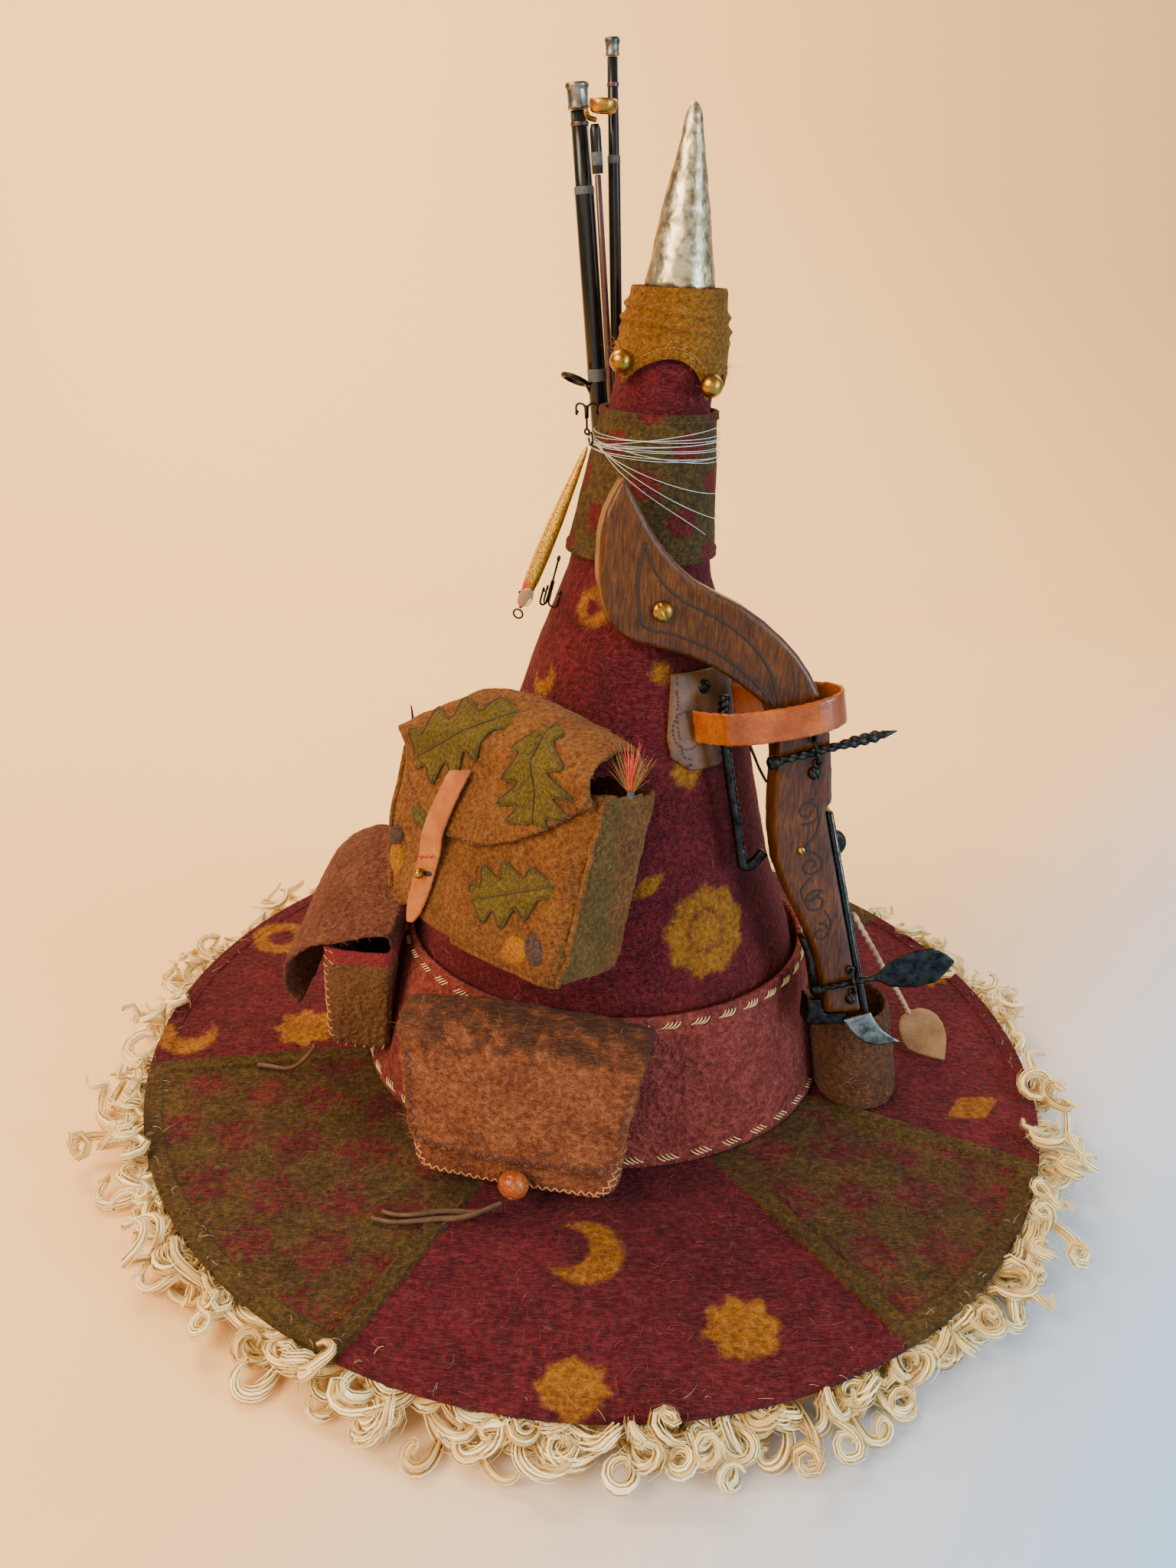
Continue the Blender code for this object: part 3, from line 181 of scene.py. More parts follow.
def tubes(name, routes, width, finish, sides, slot, *nodes, taper=None):
    # many round strands in one mesh, this many millimetres in half width; taper is a function of
    # the share along a strand
    verts, faces = [], []
    for route in routes:
        count, start = len(route), len(verts)
        for k, (point, _, side, other) in enumerate(framesAlong(route)):
            half = width * mm * (taper(k / (count - 1)) if taper else 1.0)
            for c in range(sides):
                angle = tau * c / sides
                verts.append(point + (side * math.cos(angle) + other * math.sin(angle)) * half)
        faces += gridFaces(count, sides, start=start)
        faces.append(tuple(start + c for c in reversed(range(sides))))
        faces.append(tuple(start + (count - 1) * sides + c for c in range(sides)))
    return addFaces(name, verts, faces, finish, slot, *nodes)


def ball(name, centre, radius, finish, slot, *nodes, segments=32, rings=20):
    mesh = bpy.data.meshes.new(name)
    made = bmesh.new()
    bmesh.ops.create_uvsphere(made, u_segments=segments, v_segments=rings, radius=radius,
                              matrix=Matrix.Translation(centre))
    made.to_mesh(mesh)
    made.free()
    return addPiece(name, mesh, finish, slot, *nodes)


def turnedRings(profile, matrix, sides):
    # (radius, height) pairs in millimetres turned round the frame's Z, from the bottom up
    return [[matrix @ (polar(radius, tau * c / sides, height) * mm) for c in range(sides)]
            for radius, height in profile]


def turned(name, profile, matrix, finish, slot, *nodes, sides=32):
    return skin(name, turnedRings(profile, matrix, sides), finish, slot, *nodes, ends=bothEnds)


def setValues(piece, name, values):
    # one number for each point of the mesh, which its finish reads by this name
    layer = piece.data.attributes.new(name, "FLOAT", "POINT")
    layer.data.foreach_set("value", np.array(values, dtype=np.float32))


def boxMiddle(node):
    # the middle of a solid's box, and its size
    low, high = (Vector(corner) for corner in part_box(node))
    return (low + high) / 2, high - low


def treeOf(piece):
    # for finding where a surface lies
    matrix = piece.matrix_world
    verts = [matrix @ v.co for v in piece.data.vertices]
    return BVHTree.FromPolygons(verts, [tuple(p.vertices) for p in piece.data.polygons])


def pushOut(mesh, offs):
    # moves each point along its normal by this many millimetres
    places = np.empty(len(mesh.vertices) * 3, dtype=np.float32)
    normals = np.empty_like(places)
    mesh.vertices.foreach_get("co", places)
    mesh.vertex_normals.foreach_get("vector", normals)
    mesh.vertices.foreach_set("co", places + normals * np.repeat(np.array(offs, dtype=np.float32) * mm, 3))
    mesh.update()


def softCopy(name, node, finish, slot, voxel, rounds, relief, lump, seed):
    # the solid's own form, remeshed at this voxel size, with its edges felted round by rounds of
    # smoothing and its faces a little uneven, by relief in lumps of this size; millimetres
    piece = cadNodes[node].copy()
    piece.data = cadNodes[node].data.copy()
    piece.parent = None
    bpy.context.scene.collection.objects.link(piece)
    remesh = piece.modifiers.new("felted", "REMESH")
    remesh.mode = "VOXEL"
    remesh.voxel_size = voxel * mm
    rounding = piece.modifiers.new("rounded", "SMOOTH")
    rounding.factor = 0.5
    rounding.iterations = rounds
    graph = bpy.context.evaluated_depsgraph_get()
    mesh = bpy.data.meshes.new_from_object(piece.evaluated_get(graph))
    bpy.data.objects.remove(piece)
    mesh.materials.clear()
    pushOut(mesh, [relief * (wool(vert.co, lump, seed) + 0.4 * wool(vert.co, lump * 0.4, seed + 5))
                   for vert in mesh.vertices])
    return addPiece(name, mesh, finish, slot, node)


# camera, light and the pale sweep behind the hat

view = {
    "place": (-0.0089, -0.526, 0.4133),
    "right": (0.9991, 0.0178, 0.039),
    "ahead": (0.0, 0.9098, -0.415),
    "lens": 27.07,
}
lamps = (
    {"name": "key", "place": (-1.05, -0.95, 1.15), "size": 0.9, "power": 42.0, "colour": (1.0, 0.79, 0.55)},
    {"name": "fill", "place": (1.25, -0.55, 0.85), "size": 1.0, "power": 9.0, "colour": (0.74, 0.86, 1.0)},
    {"name": "front", "place": (-0.1, -1.5, 0.55), "size": 1.2, "power": 6.0, "colour": (1.0, 0.86, 0.70)},
    {"name": "rim", "place": (0.7, 1.0, 1.2), "size": 0.8, "power": 7.0, "colour": (0.85, 0.92, 1.0)},
    {"name": "wall", "place": (-0.9, 0.7, 1.9), "aim": (-0.5, 1.9, 0.5), "size": 1.2, "power": 66.0,
     "colour": (1.0, 0.80, 0.60)},
    {"name": "window", "place": (1.15, -0.8, 0.45), "aim": (0.60, -0.45, 0.0), "size": 0.5, "power": 17.0,
     "colour": (0.50, 0.76, 1.0)},
)


def makeCamera():
    right = Vector(view["right"]).normalized()
    ahead = Vector(view["ahead"]).normalized()
    up = right.cross(ahead)
    matrix = Matrix((right, up, -ahead)).transposed().to_4x4()
    matrix.translation = Vector(view["place"])
    data = bpy.data.cameras.new("camera")
    data.lens = view["lens"]
    data.sensor_width = 36.0
    data.clip_start = 0.01
    camera = bpy.data.objects.new("camera", data)
    camera.matrix_world = matrix
    bpy.context.scene.collection.objects.link(camera)
    bpy.context.scene.camera = camera


def makeLights():
    for lamp in lamps:
        aim = Vector(lamp.get("aim", (0.0, 0.0, 0.18)))
        data = bpy.data.lights.new(lamp["name"], "AREA")
        data.size = lamp["size"]
        data.energy = lamp["power"]
        data.color = lamp["colour"]
        made = bpy.data.objects.new(lamp["name"], data)
        made.location = lamp["place"]
        made.rotation_euler = (aim - made.location).to_track_quat("-Z", "Y").to_euler()
        bpy.context.scene.collection.objects.link(made)
    world = bpy.data.worlds.new("room")
    world.use_nodes = True
    shade = world.node_tree.nodes["Background"]
    shade.inputs["Color"].default_value = (0.92, 0.82, 0.70, 1.0)
    shade.inputs["Strength"].default_value = 0.5
    bpy.context.scene.world = world


makeCamera()
makeLights()
say("camera and lights stand")


# finishes

def addNode(tree, kind, inputs=None, **settings):
    made = tree.nodes.new(kind)
    for key, value in settings.items():
        setattr(made, key, value)
    for key, value in (inputs or {}).items():
        if isinstance(value, bpy.types.NodeSocket):
            tree.links.new(value, made.inputs[key])
        else:
            made.inputs[key].default_value = value
    return made


def startFinish(name, roughness=0.8, metallic=0.0, **sockets):
    made = bpy.data.materials.new(name)
    made.use_nodes = True
    tree = made.node_tree
    shader = tree.nodes["Principled BSDF"]
    shader.inputs["Roughness"].default_value = roughness
    shader.inputs["Metallic"].default_value = metallic
    for key, value in sockets.items():
        shader.inputs[key.replace("_", " ")].default_value = value
    where = addNode(tree, "ShaderNodeTexCoord").outputs["Object"]
    return made, tree, shader, where


def stretched(tree, where, scale, turn=(0.0, 0.0, 0.0)):
    mapping = addNode(tree, "ShaderNodeMapping", {"Vector": where, "Scale": scale, "Rotation": turn})
    return mapping.outputs["Vector"]


def grain(tree, where, size, detail=2.0, rough=0.5):
    # noise with lumps about this many millimetres across
    made = addNode(tree, "ShaderNodeTexNoise", {"Vector": where, "Scale": 1000.0 / size, "Detail": detail,
                                                "Roughness": rough})
    return made.outputs["Fac"]


def cells(tree, where, size):
    made = addNode(tree, "ShaderNodeTexVoronoi", {"Vector": where, "Scale": 1000.0 / size})
    return made.outputs["Distance"]


def calc(tree, operation, a, b=0.0):
    return addNode(tree, "ShaderNodeMath", {0: a, 1: b}, operation=operation).outputs[0]


def times(tree, a, b):
    return calc(tree, "MULTIPLY", a, b)


def plus(tree, a, b):
    return calc(tree, "ADD", a, b)


def centred(tree, value, reach=1.0):
    # a noise from 0 to 1 made one about 0, this many times as wide
    return times(tree, calc(tree, "SUBTRACT", value, 0.5), reach)


def spread(tree, value, low, high, toLow=0.0, toHigh=1.0):
    # a value between low and high, drawn out smoothly to the new ends
    made = addNode(tree, "ShaderNodeMapRange", {"Value": value, "From Min": low, "From Max": high,
                                                "To Min": toLow, "To Max": toHigh},
                   interpolation_type="SMOOTHSTEP")
    return made.outputs["Result"]


def blendColours(tree, share, a, b, mode="MIX"):
    made = addNode(tree, "ShaderNodeMix", {0: share, 6: a, 7: b}, data_type="RGBA", blend_type=mode)
    return made.outputs[2]


def colourStops(tree, value, stops):
    made = addNode(tree, "ShaderNodeValToRGB", {"Fac": value})
    ramp = made.color_ramp
    while len(ramp.elements) < len(stops):
        ramp.elements.new(0.5)
    for element, (place, colour) in zip(ramp.elements, stops):
        element.position = place
        element.color = colour
    return made.outputs["Color"]


def attribute(tree, name):
    return addNode(tree, "ShaderNodeAttribute", attribute_name=name).outputs["Fac"]


def relief(tree, shader, layers):
    # bumps laid over each other: (height, strength, depth in millimetres)
    normal = None
    for height, strength, depth in layers:
        inputs = {"Height": height, "Strength": strength, "Distance": depth * mm}
        if normal is not None:
            inputs["Normal"] = normal
        normal = addNode(tree, "ShaderNodeBump", inputs).outputs["Normal"]
    tree.links.new(normal, shader.inputs["Normal"])


def colourIn(tree, shader, colour):
    tree.links.new(colour, shader.inputs["Base Color"])


def fibres(tree, where):
    # short fine streaks in three directions, as loose wool lies on felt
    length, width = 2.6, 0.16
    streaks = None
    for turn in ((0.3, 0.5, 0.4), (1.1, -0.4, 1.5), (-0.7, 0.9, 2.6)):
        lie = stretched(tree, where, (width / length, 1.0, 1.0), turn)
        streak = spread(tree, grain(tree, lie, width * 2.2, 0.0), 0.60, 0.74)
        streaks = streak if streaks is None else calc(tree, "MAXIMUM", streaks, streak)
    return streaks


def lightened(colour):
    return tuple(min(1.0, part * 1.6 + 0.12) for part in colour[:3]) + (1.0,)


def shaded(tree, value, places, colours):
    # colours from 0 to 255 laid at these places of a value
    return colourStops(tree, value, tuple(zip(places, (tone(*colour) for colour in colours))))


def feltFinish(name, wool, second=None, motif=None, stain=None, pebble=0.6, pebbleSize=2.4, sheen=0.14,
               checkEdge=0.30):
    # wet felt: mottled wool with pebbled relief, its hollows darkened as painted shade, and stray fibres.
    # The attribute "check" mixes in the second wool, "stain" a blot, and "motif" (millimetres, negative
    # inside) the needled shapes
    made, tree, shader, where = startFinish(name, 0.95, Sheen_Weight=sheen, Sheen_Roughness=0.5,
                                            Sheen_Tint=lightened(tone(*wool[1])), Specular_IOR_Level=0.12)
    lumps = grain(tree, where, pebbleSize, 2.0, 0.45)
    fine = grain(tree, where, 0.8, 3.0, 0.7)
    # the lumps and fine grain that raise the relief also darken its low parts: painted shade in the hollows
    value = plus(tree, times(tree, grain(tree, where, 18.0, 2.0), 0.20), times(tree, lumps, 0.38))
    value = plus(tree, value, times(tree, fine, 0.42))
    places = (0.37, 0.5, 0.64)
    ground = shaded(tree, value, places, wool)
    streaks = fibres(tree, where)
    if second is not None:
        edge = plus(tree, attribute(tree, "check"), centred(tree, grain(tree, where, 4.0, 4.0, 0.7), 2.6))
        share = spread(tree, edge, 0.5 - checkEdge, 0.5 + checkEdge)
        ground = blendColours(tree, share, ground, shaded(tree, value, places, second))
    if stain is not None:
        edge = plus(tree, attribute(tree, "stain"), centred(tree, grain(tree, where, 7.0, 3.0)))
        ground = blendColours(tree, spread(tree, edge, 0.35, 0.75), ground, tone(*stain))
    if motif is not None:
        edge = plus(tree, attribute(tree, "motif"), centred(tree, grain(tree, where, 2.6, 4.0, 0.75), 6.0))
        share = spread(tree, edge, -2.0, 2.0, 1.0, 0.0)
        thin = spread(tree, grain(tree, where, 1.9, 3.0, 0.7), 0.30, 0.52, 0.55, 1.0)
        ground = blendColours(tree, times(tree, share, thin), ground, shaded(tree, value, places, motif))
    hairy = blendColours(tree, times(tree, streaks, 0.16), ground, (0.75, 0.55, 0.42, 1.0), "SOFT_LIGHT")
    hairy = blendColours(tree, times(tree, streaks, 0.09), hairy, lightened(tone(*wool[2])))
    colourIn(tree, shader, hairy)
    relief(tree, shader, ((lumps, pebble, 3.2), (fine, 0.6, 0.5), (streaks, 0.4, 0.15)))
    return made


def leatherFinish(name, roughness, *hide):
    made, tree, shader, where = startFinish(name, roughness, Coat_Weight=0.05, Coat_Roughness=0.3,
                                            Specular_IOR_Level=0.35)
    mottle = grain(tree, where, 15.0, 4.0, 0.6)
    value = plus(tree, times(tree, mottle, 0.7), times(tree, grain(tree, where, 0.8, 2.0), 0.3))
    colourIn(tree, shader, shaded(tree, value, (0.34, 0.5, 0.68), hide))
    relief(tree, shader, ((cells(tree, where, 0.9), 0.22, 0.10), (mottle, 0.35, 0.5)))
    return made


def woodFinish(name, roughness, along, *wood):
    # long streaks of grain with short dark pores in them, under a thin varnish
    made, tree, shader, where = startFinish(name, roughness, Coat_Weight=0.06, Coat_Roughness=0.15,
                                            Specular_IOR_Level=0.22)
    broad = grain(tree, stretched(tree, where, along), 1.0, 3.0, 0.6)
    pores = grain(tree, stretched(tree, where, tuple(0.10 if a < 1 else 1.0 for a in along)), 0.55, 1.0)
    value = plus(tree, times(tree, broad, 0.65), times(tree, grain(tree, where, 26.0, 2.0), 0.35))
    fleck = times(tree, spread(tree, pores, 0.58, 0.70), 0.6)
    ground = shaded(tree, value, (0.32, 0.5, 0.70), wood)
    colourIn(tree, shader, blendColours(tree, fleck, ground, tone(*wood[0])))
    relief(tree, shader, ((broad, 0.12, 0.25), (pores, 0.18, 0.12)))
    return made


def foilFinish(name):
    # leaf pressed on by hand: broad soft dents, a few sharp folds
    made, tree, shader, where = startFinish(name, 0.32, 1.0)
    dents = grain(tree, where, 6.0, 3.0, 0.55)
    folds = calc(tree, "ABSOLUTE", centred(tree, grain(tree, where, 12.0, 3.0, 0.6)))
    leaf = ((140, 126, 96), (178, 164, 132), (214, 202, 170))
    colourIn(tree, shader, shaded(tree, dents, (0.3, 0.5, 0.72), leaf))
    rough = spread(tree, grain(tree, where, 3.0, 3.0), 0.3, 0.7, 0.26, 0.46)
    tree.links.new(rough, shader.inputs["Roughness"])
    relief(tree, shader, ((folds, 0.2, 3.0), (dents, 0.22, 1.4), (grain(tree, where, 1.6, 2.0), 0.2, 0.3)))
    return made


def metalFinish(name, dark, light, roughness, tarnish=8.0, scratch=0.15):
    made, tree, shader, where = startFinish(name, roughness, 1.0)
    mottle = grain(tree, where, tarnish, 4.0, 0.62)
    colourIn(tree, shader, shaded(tree, mottle, (0.36, 0.62), (dark, light)))
    fine = grain(tree, where, 0.5, 2.0)
    rough = spread(tree, fine, 0.25, 0.75, roughness - 0.08, roughness + 0.14)
    tree.links.new(rough, shader.inputs["Roughness"])
    relief(tree, shader, ((fine, scratch, 0.1), (mottle, scratch, 0.3)))
    return made


def plainFinish(name, dark, light, roughness, size, bump, **sockets):
    # a close even surface, such as thread, lacquer or horn: two near tones and a fine relief
    made, tree, shader, where = startFinish(name, roughness, **sockets)
    fine = grain(tree, where, size, 3.0, 0.6)
    colourIn(tree, shader, shaded(tree, fine, (0.35, 0.65), (dark, light)))
    relief(tree, shader, ((fine, bump, 0.12),))
    return made


def fleeceFinish(name):
    # lustrous longwool: cream, yellower in some locks, with painted shade darkening it where it leaves the
    # felt
    made, tree, shader, where = startFinish(name, 0.32, Sheen_Weight=0.1, Sheen_Roughness=0.4,
                                            Sheen_Tint=(1.0, 0.95, 0.8, 1.0))
    lock = shaded(tree, attribute(tree, "tint"), (0.0, 0.3, 0.7, 1.0),
                  ((202, 160, 84), (252, 228, 152), (255, 246, 198), (238, 200, 116)))
    # the dark root colour is painted shade, deepest where the locks leave the felt
    depth = spread(tree, attribute(tree, "along"), 0.0, 0.35)
    shadedAtRoot = blendColours(tree, depth, tone(186, 142, 74), lock)
    fine = grain(tree, where, 0.7, 2.0)
    colourIn(tree, shader, blendColours(tree, times(tree, fine, 0.2), shadedAtRoot, tone(222, 192, 132)))
    relief(tree, shader, ((fine, 0.3, 0.15),))
    return made


def lureFinish(name):
    # gold scales, with the attribute "belly" for the pale side and "throat" for the red patch
    made, tree, shader, where = startFinish(name, 0.3, 0.35, Specular_IOR_Level=0.4)
    sparkle = grain(tree, where, 0.7, 3.0, 0.7)
    gold = shaded(tree, sparkle, (0.36, 0.5, 0.64), ((120, 74, 8), (196, 136, 18), (250, 206, 76)))
    pale = shaded(tree, sparkle, (0.36, 0.66), ((196, 176, 130), (240, 228, 196)))
    ground = blendColours(tree, attribute(tree, "belly"), gold, pale)
    colourIn(tree, shader, blendColours(tree, attribute(tree, "throat"), ground, tone(196, 44, 30)))
    relief(tree, shader, ((cells(tree, where, 1.0), 0.3, 0.2), (sparkle, 0.2, 0.15)))
    return made


def paperFinish(name):
    # pale paper with painted light: warm on the lamp's side and cool towards the window
    made, tree, shader, where = startFinish(name, 0.85)
    parts = addNode(tree, "ShaderNodeSeparateXYZ", {0: where})
    # painted light: a gradient from warm lamp light to cool window light across the sweep
    slant = calc(tree, "SUBTRACT", parts.outputs["X"], times(tree, parts.outputs["Y"], 0.8))
    paintedLightShare = spread(tree, slant, 0.0, 0.55)
    colourIn(tree, shader, blendColours(tree, paintedLightShare, tone(255, 208, 140), tone(136, 202, 255)))
    relief(tree, shader, ((grain(tree, where, 7.0, 3.0), 0.06, 0.3),))
    return made


# colours are as the eye reads them, 0 to 255, from dark to light

goldWool = ((84, 46, 6), (124, 76, 12), (156, 106, 26))
oliveWool = ((31, 25, 7), (56, 43, 13), (83, 66, 24))
redWool = ((50, 11, 9), (76, 20, 14), (101, 34, 23))
burgundyWool = ((40, 6, 11), (68, 12, 20), (98, 27, 34))
crownWool = ((42, 5, 8), (72, 12, 17), (102, 29, 31))
bandWool = ((66, 21, 19), (106, 40, 34), (142, 68, 55))
collarWool = ((74, 43, 6), (106, 65, 12), (138, 94, 25))
bagWool = ((60, 32, 12), (96, 57, 22), (130, 84, 38))
gussetWool = ((48, 33, 10), (75, 54, 18), (103, 79, 31))
pouchWool = ((66, 32, 15), (105, 56, 30), (143, 86, 51))
leftPouchWool = ((55, 27, 18), (84, 45, 30), (113, 67, 45))
ribbedWool = ((66, 41, 22), (92, 59, 33), (111, 76, 45))
pocketWool = ((42, 22, 12), (68, 39, 20), (95, 60, 32))
leafWool = ((48, 40, 9), (77, 64, 17), (107, 89, 29))
capWool = ((44, 32, 28), (68, 50, 44), (90, 68, 58))
finishes = {
    "brim": feltFinish("brimFelt", burgundyWool, oliveWool, goldWool, pebble=0.5, checkEdge=0.42),
    "crown": feltFinish("crownFelt", crownWool, motif=goldWool, pebble=0.55),
    "band": feltFinish("bandFelt", bandWool, pebble=1.0, pebbleSize=2.8),
    "sleeve": feltFinish("sleeveFelt", redWool, oliveWool, pebble=0.4, checkEdge=0.25),
    "collar": feltFinish("collarFelt", collarWool, pebble=0.7, pebbleSize=1.8),
    "bag": feltFinish("backpackFelt", bagWool, gussetWool, pebble=0.55, pebbleSize=2.0, checkEdge=0.1),
    "pouch": feltFinish("pouchFelt", pouchWool, pebble=0.8, pebbleSize=2.6, stain=(56, 32, 20)),
    "leftPouch": feltFinish("leftPouchFelt", leftPouchWool, pebble=0.7, stain=(60, 30, 22)),
    "leftBox": feltFinish("ribbedFelt", ribbedWool, pebble=0.7, pebbleSize=2.2, stain=(112, 34, 40)),
    "pocket": feltFinish("pocketFelt", pocketWool, pebble=0.7, pebbleSize=2.6, sheen=0.3),
    "leaf": feltFinish("leafFelt", leafWool, pebble=0.4, pebbleSize=1.5),
    "acorn": feltFinish("acornFelt", goldWool, pebble=0.35, pebbleSize=1.4),
    "acornCap": feltFinish("acornCapFelt", capWool, pebble=0.8, pebbleSize=1.4),
    "foil": foilFinish("silverFoil"),
    "brass": metalFinish("satinBrass", (118, 78, 22), (176, 128, 50), 0.30),
    "steel": metalFinish("dullSteel", (70, 68, 62), (142, 138, 126), 0.34, 5.0),
    "iron": metalFinish("blackIron", (22, 21, 20), (52, 49, 46), 0.42, 4.0, 0.3),
    "minnow": lureFinish("minnowGold"),
    "strap": leatherFinish("tanStrap", 0.5, (118, 62, 26), (152, 84, 38), (174, 108, 58)),
    "orangeStrap": leatherFinish("orangeStrap", 0.28, (108, 46, 6), (142, 64, 9), (172, 92, 26)),
    "patch": leatherFinish("patchLeather", 0.55, (66, 36, 6), (94, 54, 10), (120, 76, 20)),
    "tab": leatherFinish("tabSuede", 0.8, (110, 70, 36), (142, 97, 54), (166, 122, 76)),
    "thong": leatherFinish("brownThong", 0.7, (52, 34, 20), (80, 54, 32), (106, 76, 48)),
    "wood": woodFinish("stockWood", 0.34, (1.0, 1.0, 0.06), (36, 16, 3), (74, 38, 7), (104, 60, 15)),
    "toggle": woodFinish("toggleWood", 0.2, (1.0, 0.1, 1.0), (96, 42, 18), (150, 76, 34), (186, 108, 56)),
    "wool": fleeceFinish("longWool"),
    "paper": paperFinish("palePaper"),
}
for key, name, dark, light, roughness, size, bump, sockets in (
        ("lacquer", "blackLacquer", (8, 8, 8), (20, 18, 16), 0.22, 3.0, 0.05, {"Specular_IOR_Level": 0.35}),
        ("bareCane", "redCane", (47, 16, 13), (76, 27, 20), 0.4, 2.0, 0.1, {"Coat_Weight": 0.4}),
        ("whipping", "greyWhipping", (52, 52, 52), (94, 92, 88), 0.6, 0.5, 0.4, {}),
        ("pinkCord", "twistedCord", (160, 108, 74), (206, 156, 116), 0.8, 0.6, 0.5, {}),
        ("carving", "carvedLine", (20, 10, 5), (32, 17, 8), 0.7, 1.0, 0.2, {}),
        ("creamThread", "creamThread", (196, 160, 96), (232, 204, 140), 0.7, 0.4, 0.5, {}),
        ("copperThread", "copperThread", (176, 96, 52), (220, 146, 92), 0.6, 0.4, 0.5, {}),
        ("brownThread", "brownThread", (58, 28, 20), (88, 46, 32), 0.8, 0.4, 0.5, {}),
        ("oliveThread", "oliveThread", (44, 34, 16), (74, 60, 28), 0.8, 0.4, 0.5, {}),
        ("mustardThread", "mustardThread", (116, 72, 20), (158, 106, 38), 0.8, 0.4, 0.5, {}),
        ("redThread", "redThread", (150, 30, 24), (196, 52, 40), 0.7, 0.4, 0.5, {}),
        ("line", "clearLine", (214, 214, 206), (240, 240, 234), 0.12, 1.5, 0.05,
         {"Transmission_Weight": 0.35, "Specular_IOR_Level": 0.8}),
        ("lip", "clearLip", (222, 214, 190), (240, 232, 212), 0.08, 3.0, 0.03, {"Transmission_Weight": 0.75}),
        ("redHackle", "redHackle", (208, 30, 20), (250, 76, 44), 0.5, 0.8, 0.2, {}),
        ("brownHackle", "brownHackle", (96, 60, 24), (162, 112, 54), 0.5, 0.8, 0.2, {}),
        ("redFuzz", "redFuzz", (120, 44, 46), (176, 96, 84), 0.8, 20.0, 0.0, {}),
        ("brownFuzz", "brownFuzz", (128, 80, 44), (186, 134, 88), 0.8, 20.0, 0.0, {}),
        ("goldFuzz", "goldFuzz", (150, 98, 28), (206, 156, 72), 0.8, 20.0, 0.0, {}),
        ("paleFuzz", "paleFuzz", (220, 190, 140), (246, 230, 196), 0.6, 20.0, 0.0, {})):
    finishes[key] = plainFinish(name, dark, light, roughness, size, bump, **sockets)
say("finishes are mixed")


# the pale floor, which sweeps up behind the hat

sweepForm = {"front": -2.4, "back": 0.9, "bend": 1.0, "top": 2.8, "half": 2.6, "drop": 0.0003}


def makeSweep():
    form = sweepForm
    profile = [(form["front"], 0.0), (0.0, 0.0), (form["back"], 0.0)]
    for k in range(1, 17):
        angle = math.pi / 2 * k / 16
        profile.append((form["back"] + form["bend"] * math.sin(angle), form["bend"] * (1 - math.cos(angle))))
    profile.append((form["back"] + form["bend"], form["top"]))
    rings = [[Vector((side * form["half"], y, z - form["drop"])) for side in (-1.0, -0.5, 0.0, 0.5, 1.0)]
             for y, z in profile]
    skin("pale_sweep", rings, "paper", around=False)


makeSweep()


# the soft cords, whose routes are in millimetres from where each leaves its piece

cordRoutes = {
    "front_tie_long": (
        (-38.6, -137.6, 35.4), (-44.0, -139.4, 33.6), (-51.0, -139.8, 30.0), (-58.0, -139.2, 27.0),
        (-66.0, -139.0, 26.0), (-76.0, -140.4, 25.6), (-86.0, -141.0, 25.0), (-95.0, -139.4, 25.0)),
    "front_tie_short": (
        (-38.8, -134.6, 32.4), (-44.0, -135.6, 29.2), (-51.0, -134.8, 26.6), (-58.0, -134.2, 26.0),
        (-66.0, -134.6, 25.9), (-75.0, -136.4, 25.6), (-84.0, -136.8, 25.0), (-91.0, -135.2, 25.0)),
    "left_tie": (
        (-139.6, -46.8, 45.0), (-142.0, -46.2, 40.6), (-147.0, -44.6, 33.4), (-152.6, -42.6, 27.4),
        (-158.4, -40.8, 24.9), (-165.0, -39.4, 24.8), (-172.0, -38.6, 24.8)),
    "tab_cord": (
        (116.6, -51.2, 136.5), (122.0, -47.5, 127.0), (132.5, -39.0, 109.0), (142.8, -30.5, 91.0),
        (155.0, -17.5, 70.2), (165.9, -4.3, 50.2)),
}
thong = {"radius": 1.3, "lobes": 2, "depth": 0.22, "pitch": 46.0, "steps": 6, "sides": 14,
         "finish": "thong", "slot": "dark_leather", "ending": "_leather"}
twisted = {"radius": 1.6, "lobes": 2, "depth": 0.42, "pitch": 6.4, "steps": 28, "sides": 14,
           "finish": "pinkCord", "slot": "tan_leather", "ending": "_plies"}


def makeCord(node, form):
    # a round strand with lobes that turn along it: a slack thong, or two plies twisted together
    path = [point * mm for point in smoothRoute(cordRoutes[node], form["steps"])]
    rings, gone = [], 0.0
    for k, (point, _, side, other) in enumerate(framesAlong(path)):
        gone += (point - path[k - 1]).length if k else 0.0
        ring = []
        for c in range(form["sides"]):
            angle = tau * c / form["sides"]
            lobe = 0.5 + 0.5 * math.cos(form["lobes"] * angle - tau * gone / (form["pitch"] * mm))
            width = form["radius"] * (1 - form["depth"] * lobe) * mm
            ring.append(point + (side * math.cos(angle) + other * math.sin(angle)) * width)
        rings.append(ring)
    piece = skin(node + form["ending"], rings, form["finish"], form["slot"], node, ends=bothEnds)
    return piece, smoothRoute([Vector(point) * mm for point in cordRoutes[node]], 4)


def makeTies():
    for name in ("front_tie_long", "front_tie_short", "left_tie"):
        piece, path = makeCord(name, thong)
        tuple(path[0])
        routeLength(path)
        [tuple(p) for p in path]


def makeTab():
    # a thin leaf of suede that leans on the brim, at the end of the twisted cord
    tab = softCopy("suede_tab", "leather_tab", "tab", "tan_leather", 0.7, 4, 0.12, 6.0, 4.0)
    piece, path = makeCord("tab_cord", twisted)
    tuple(path[0])
    routeLength(path)
    [tuple(p) for p in path]


makeTies()
makeTab()
say("thongs and cord lie in place")


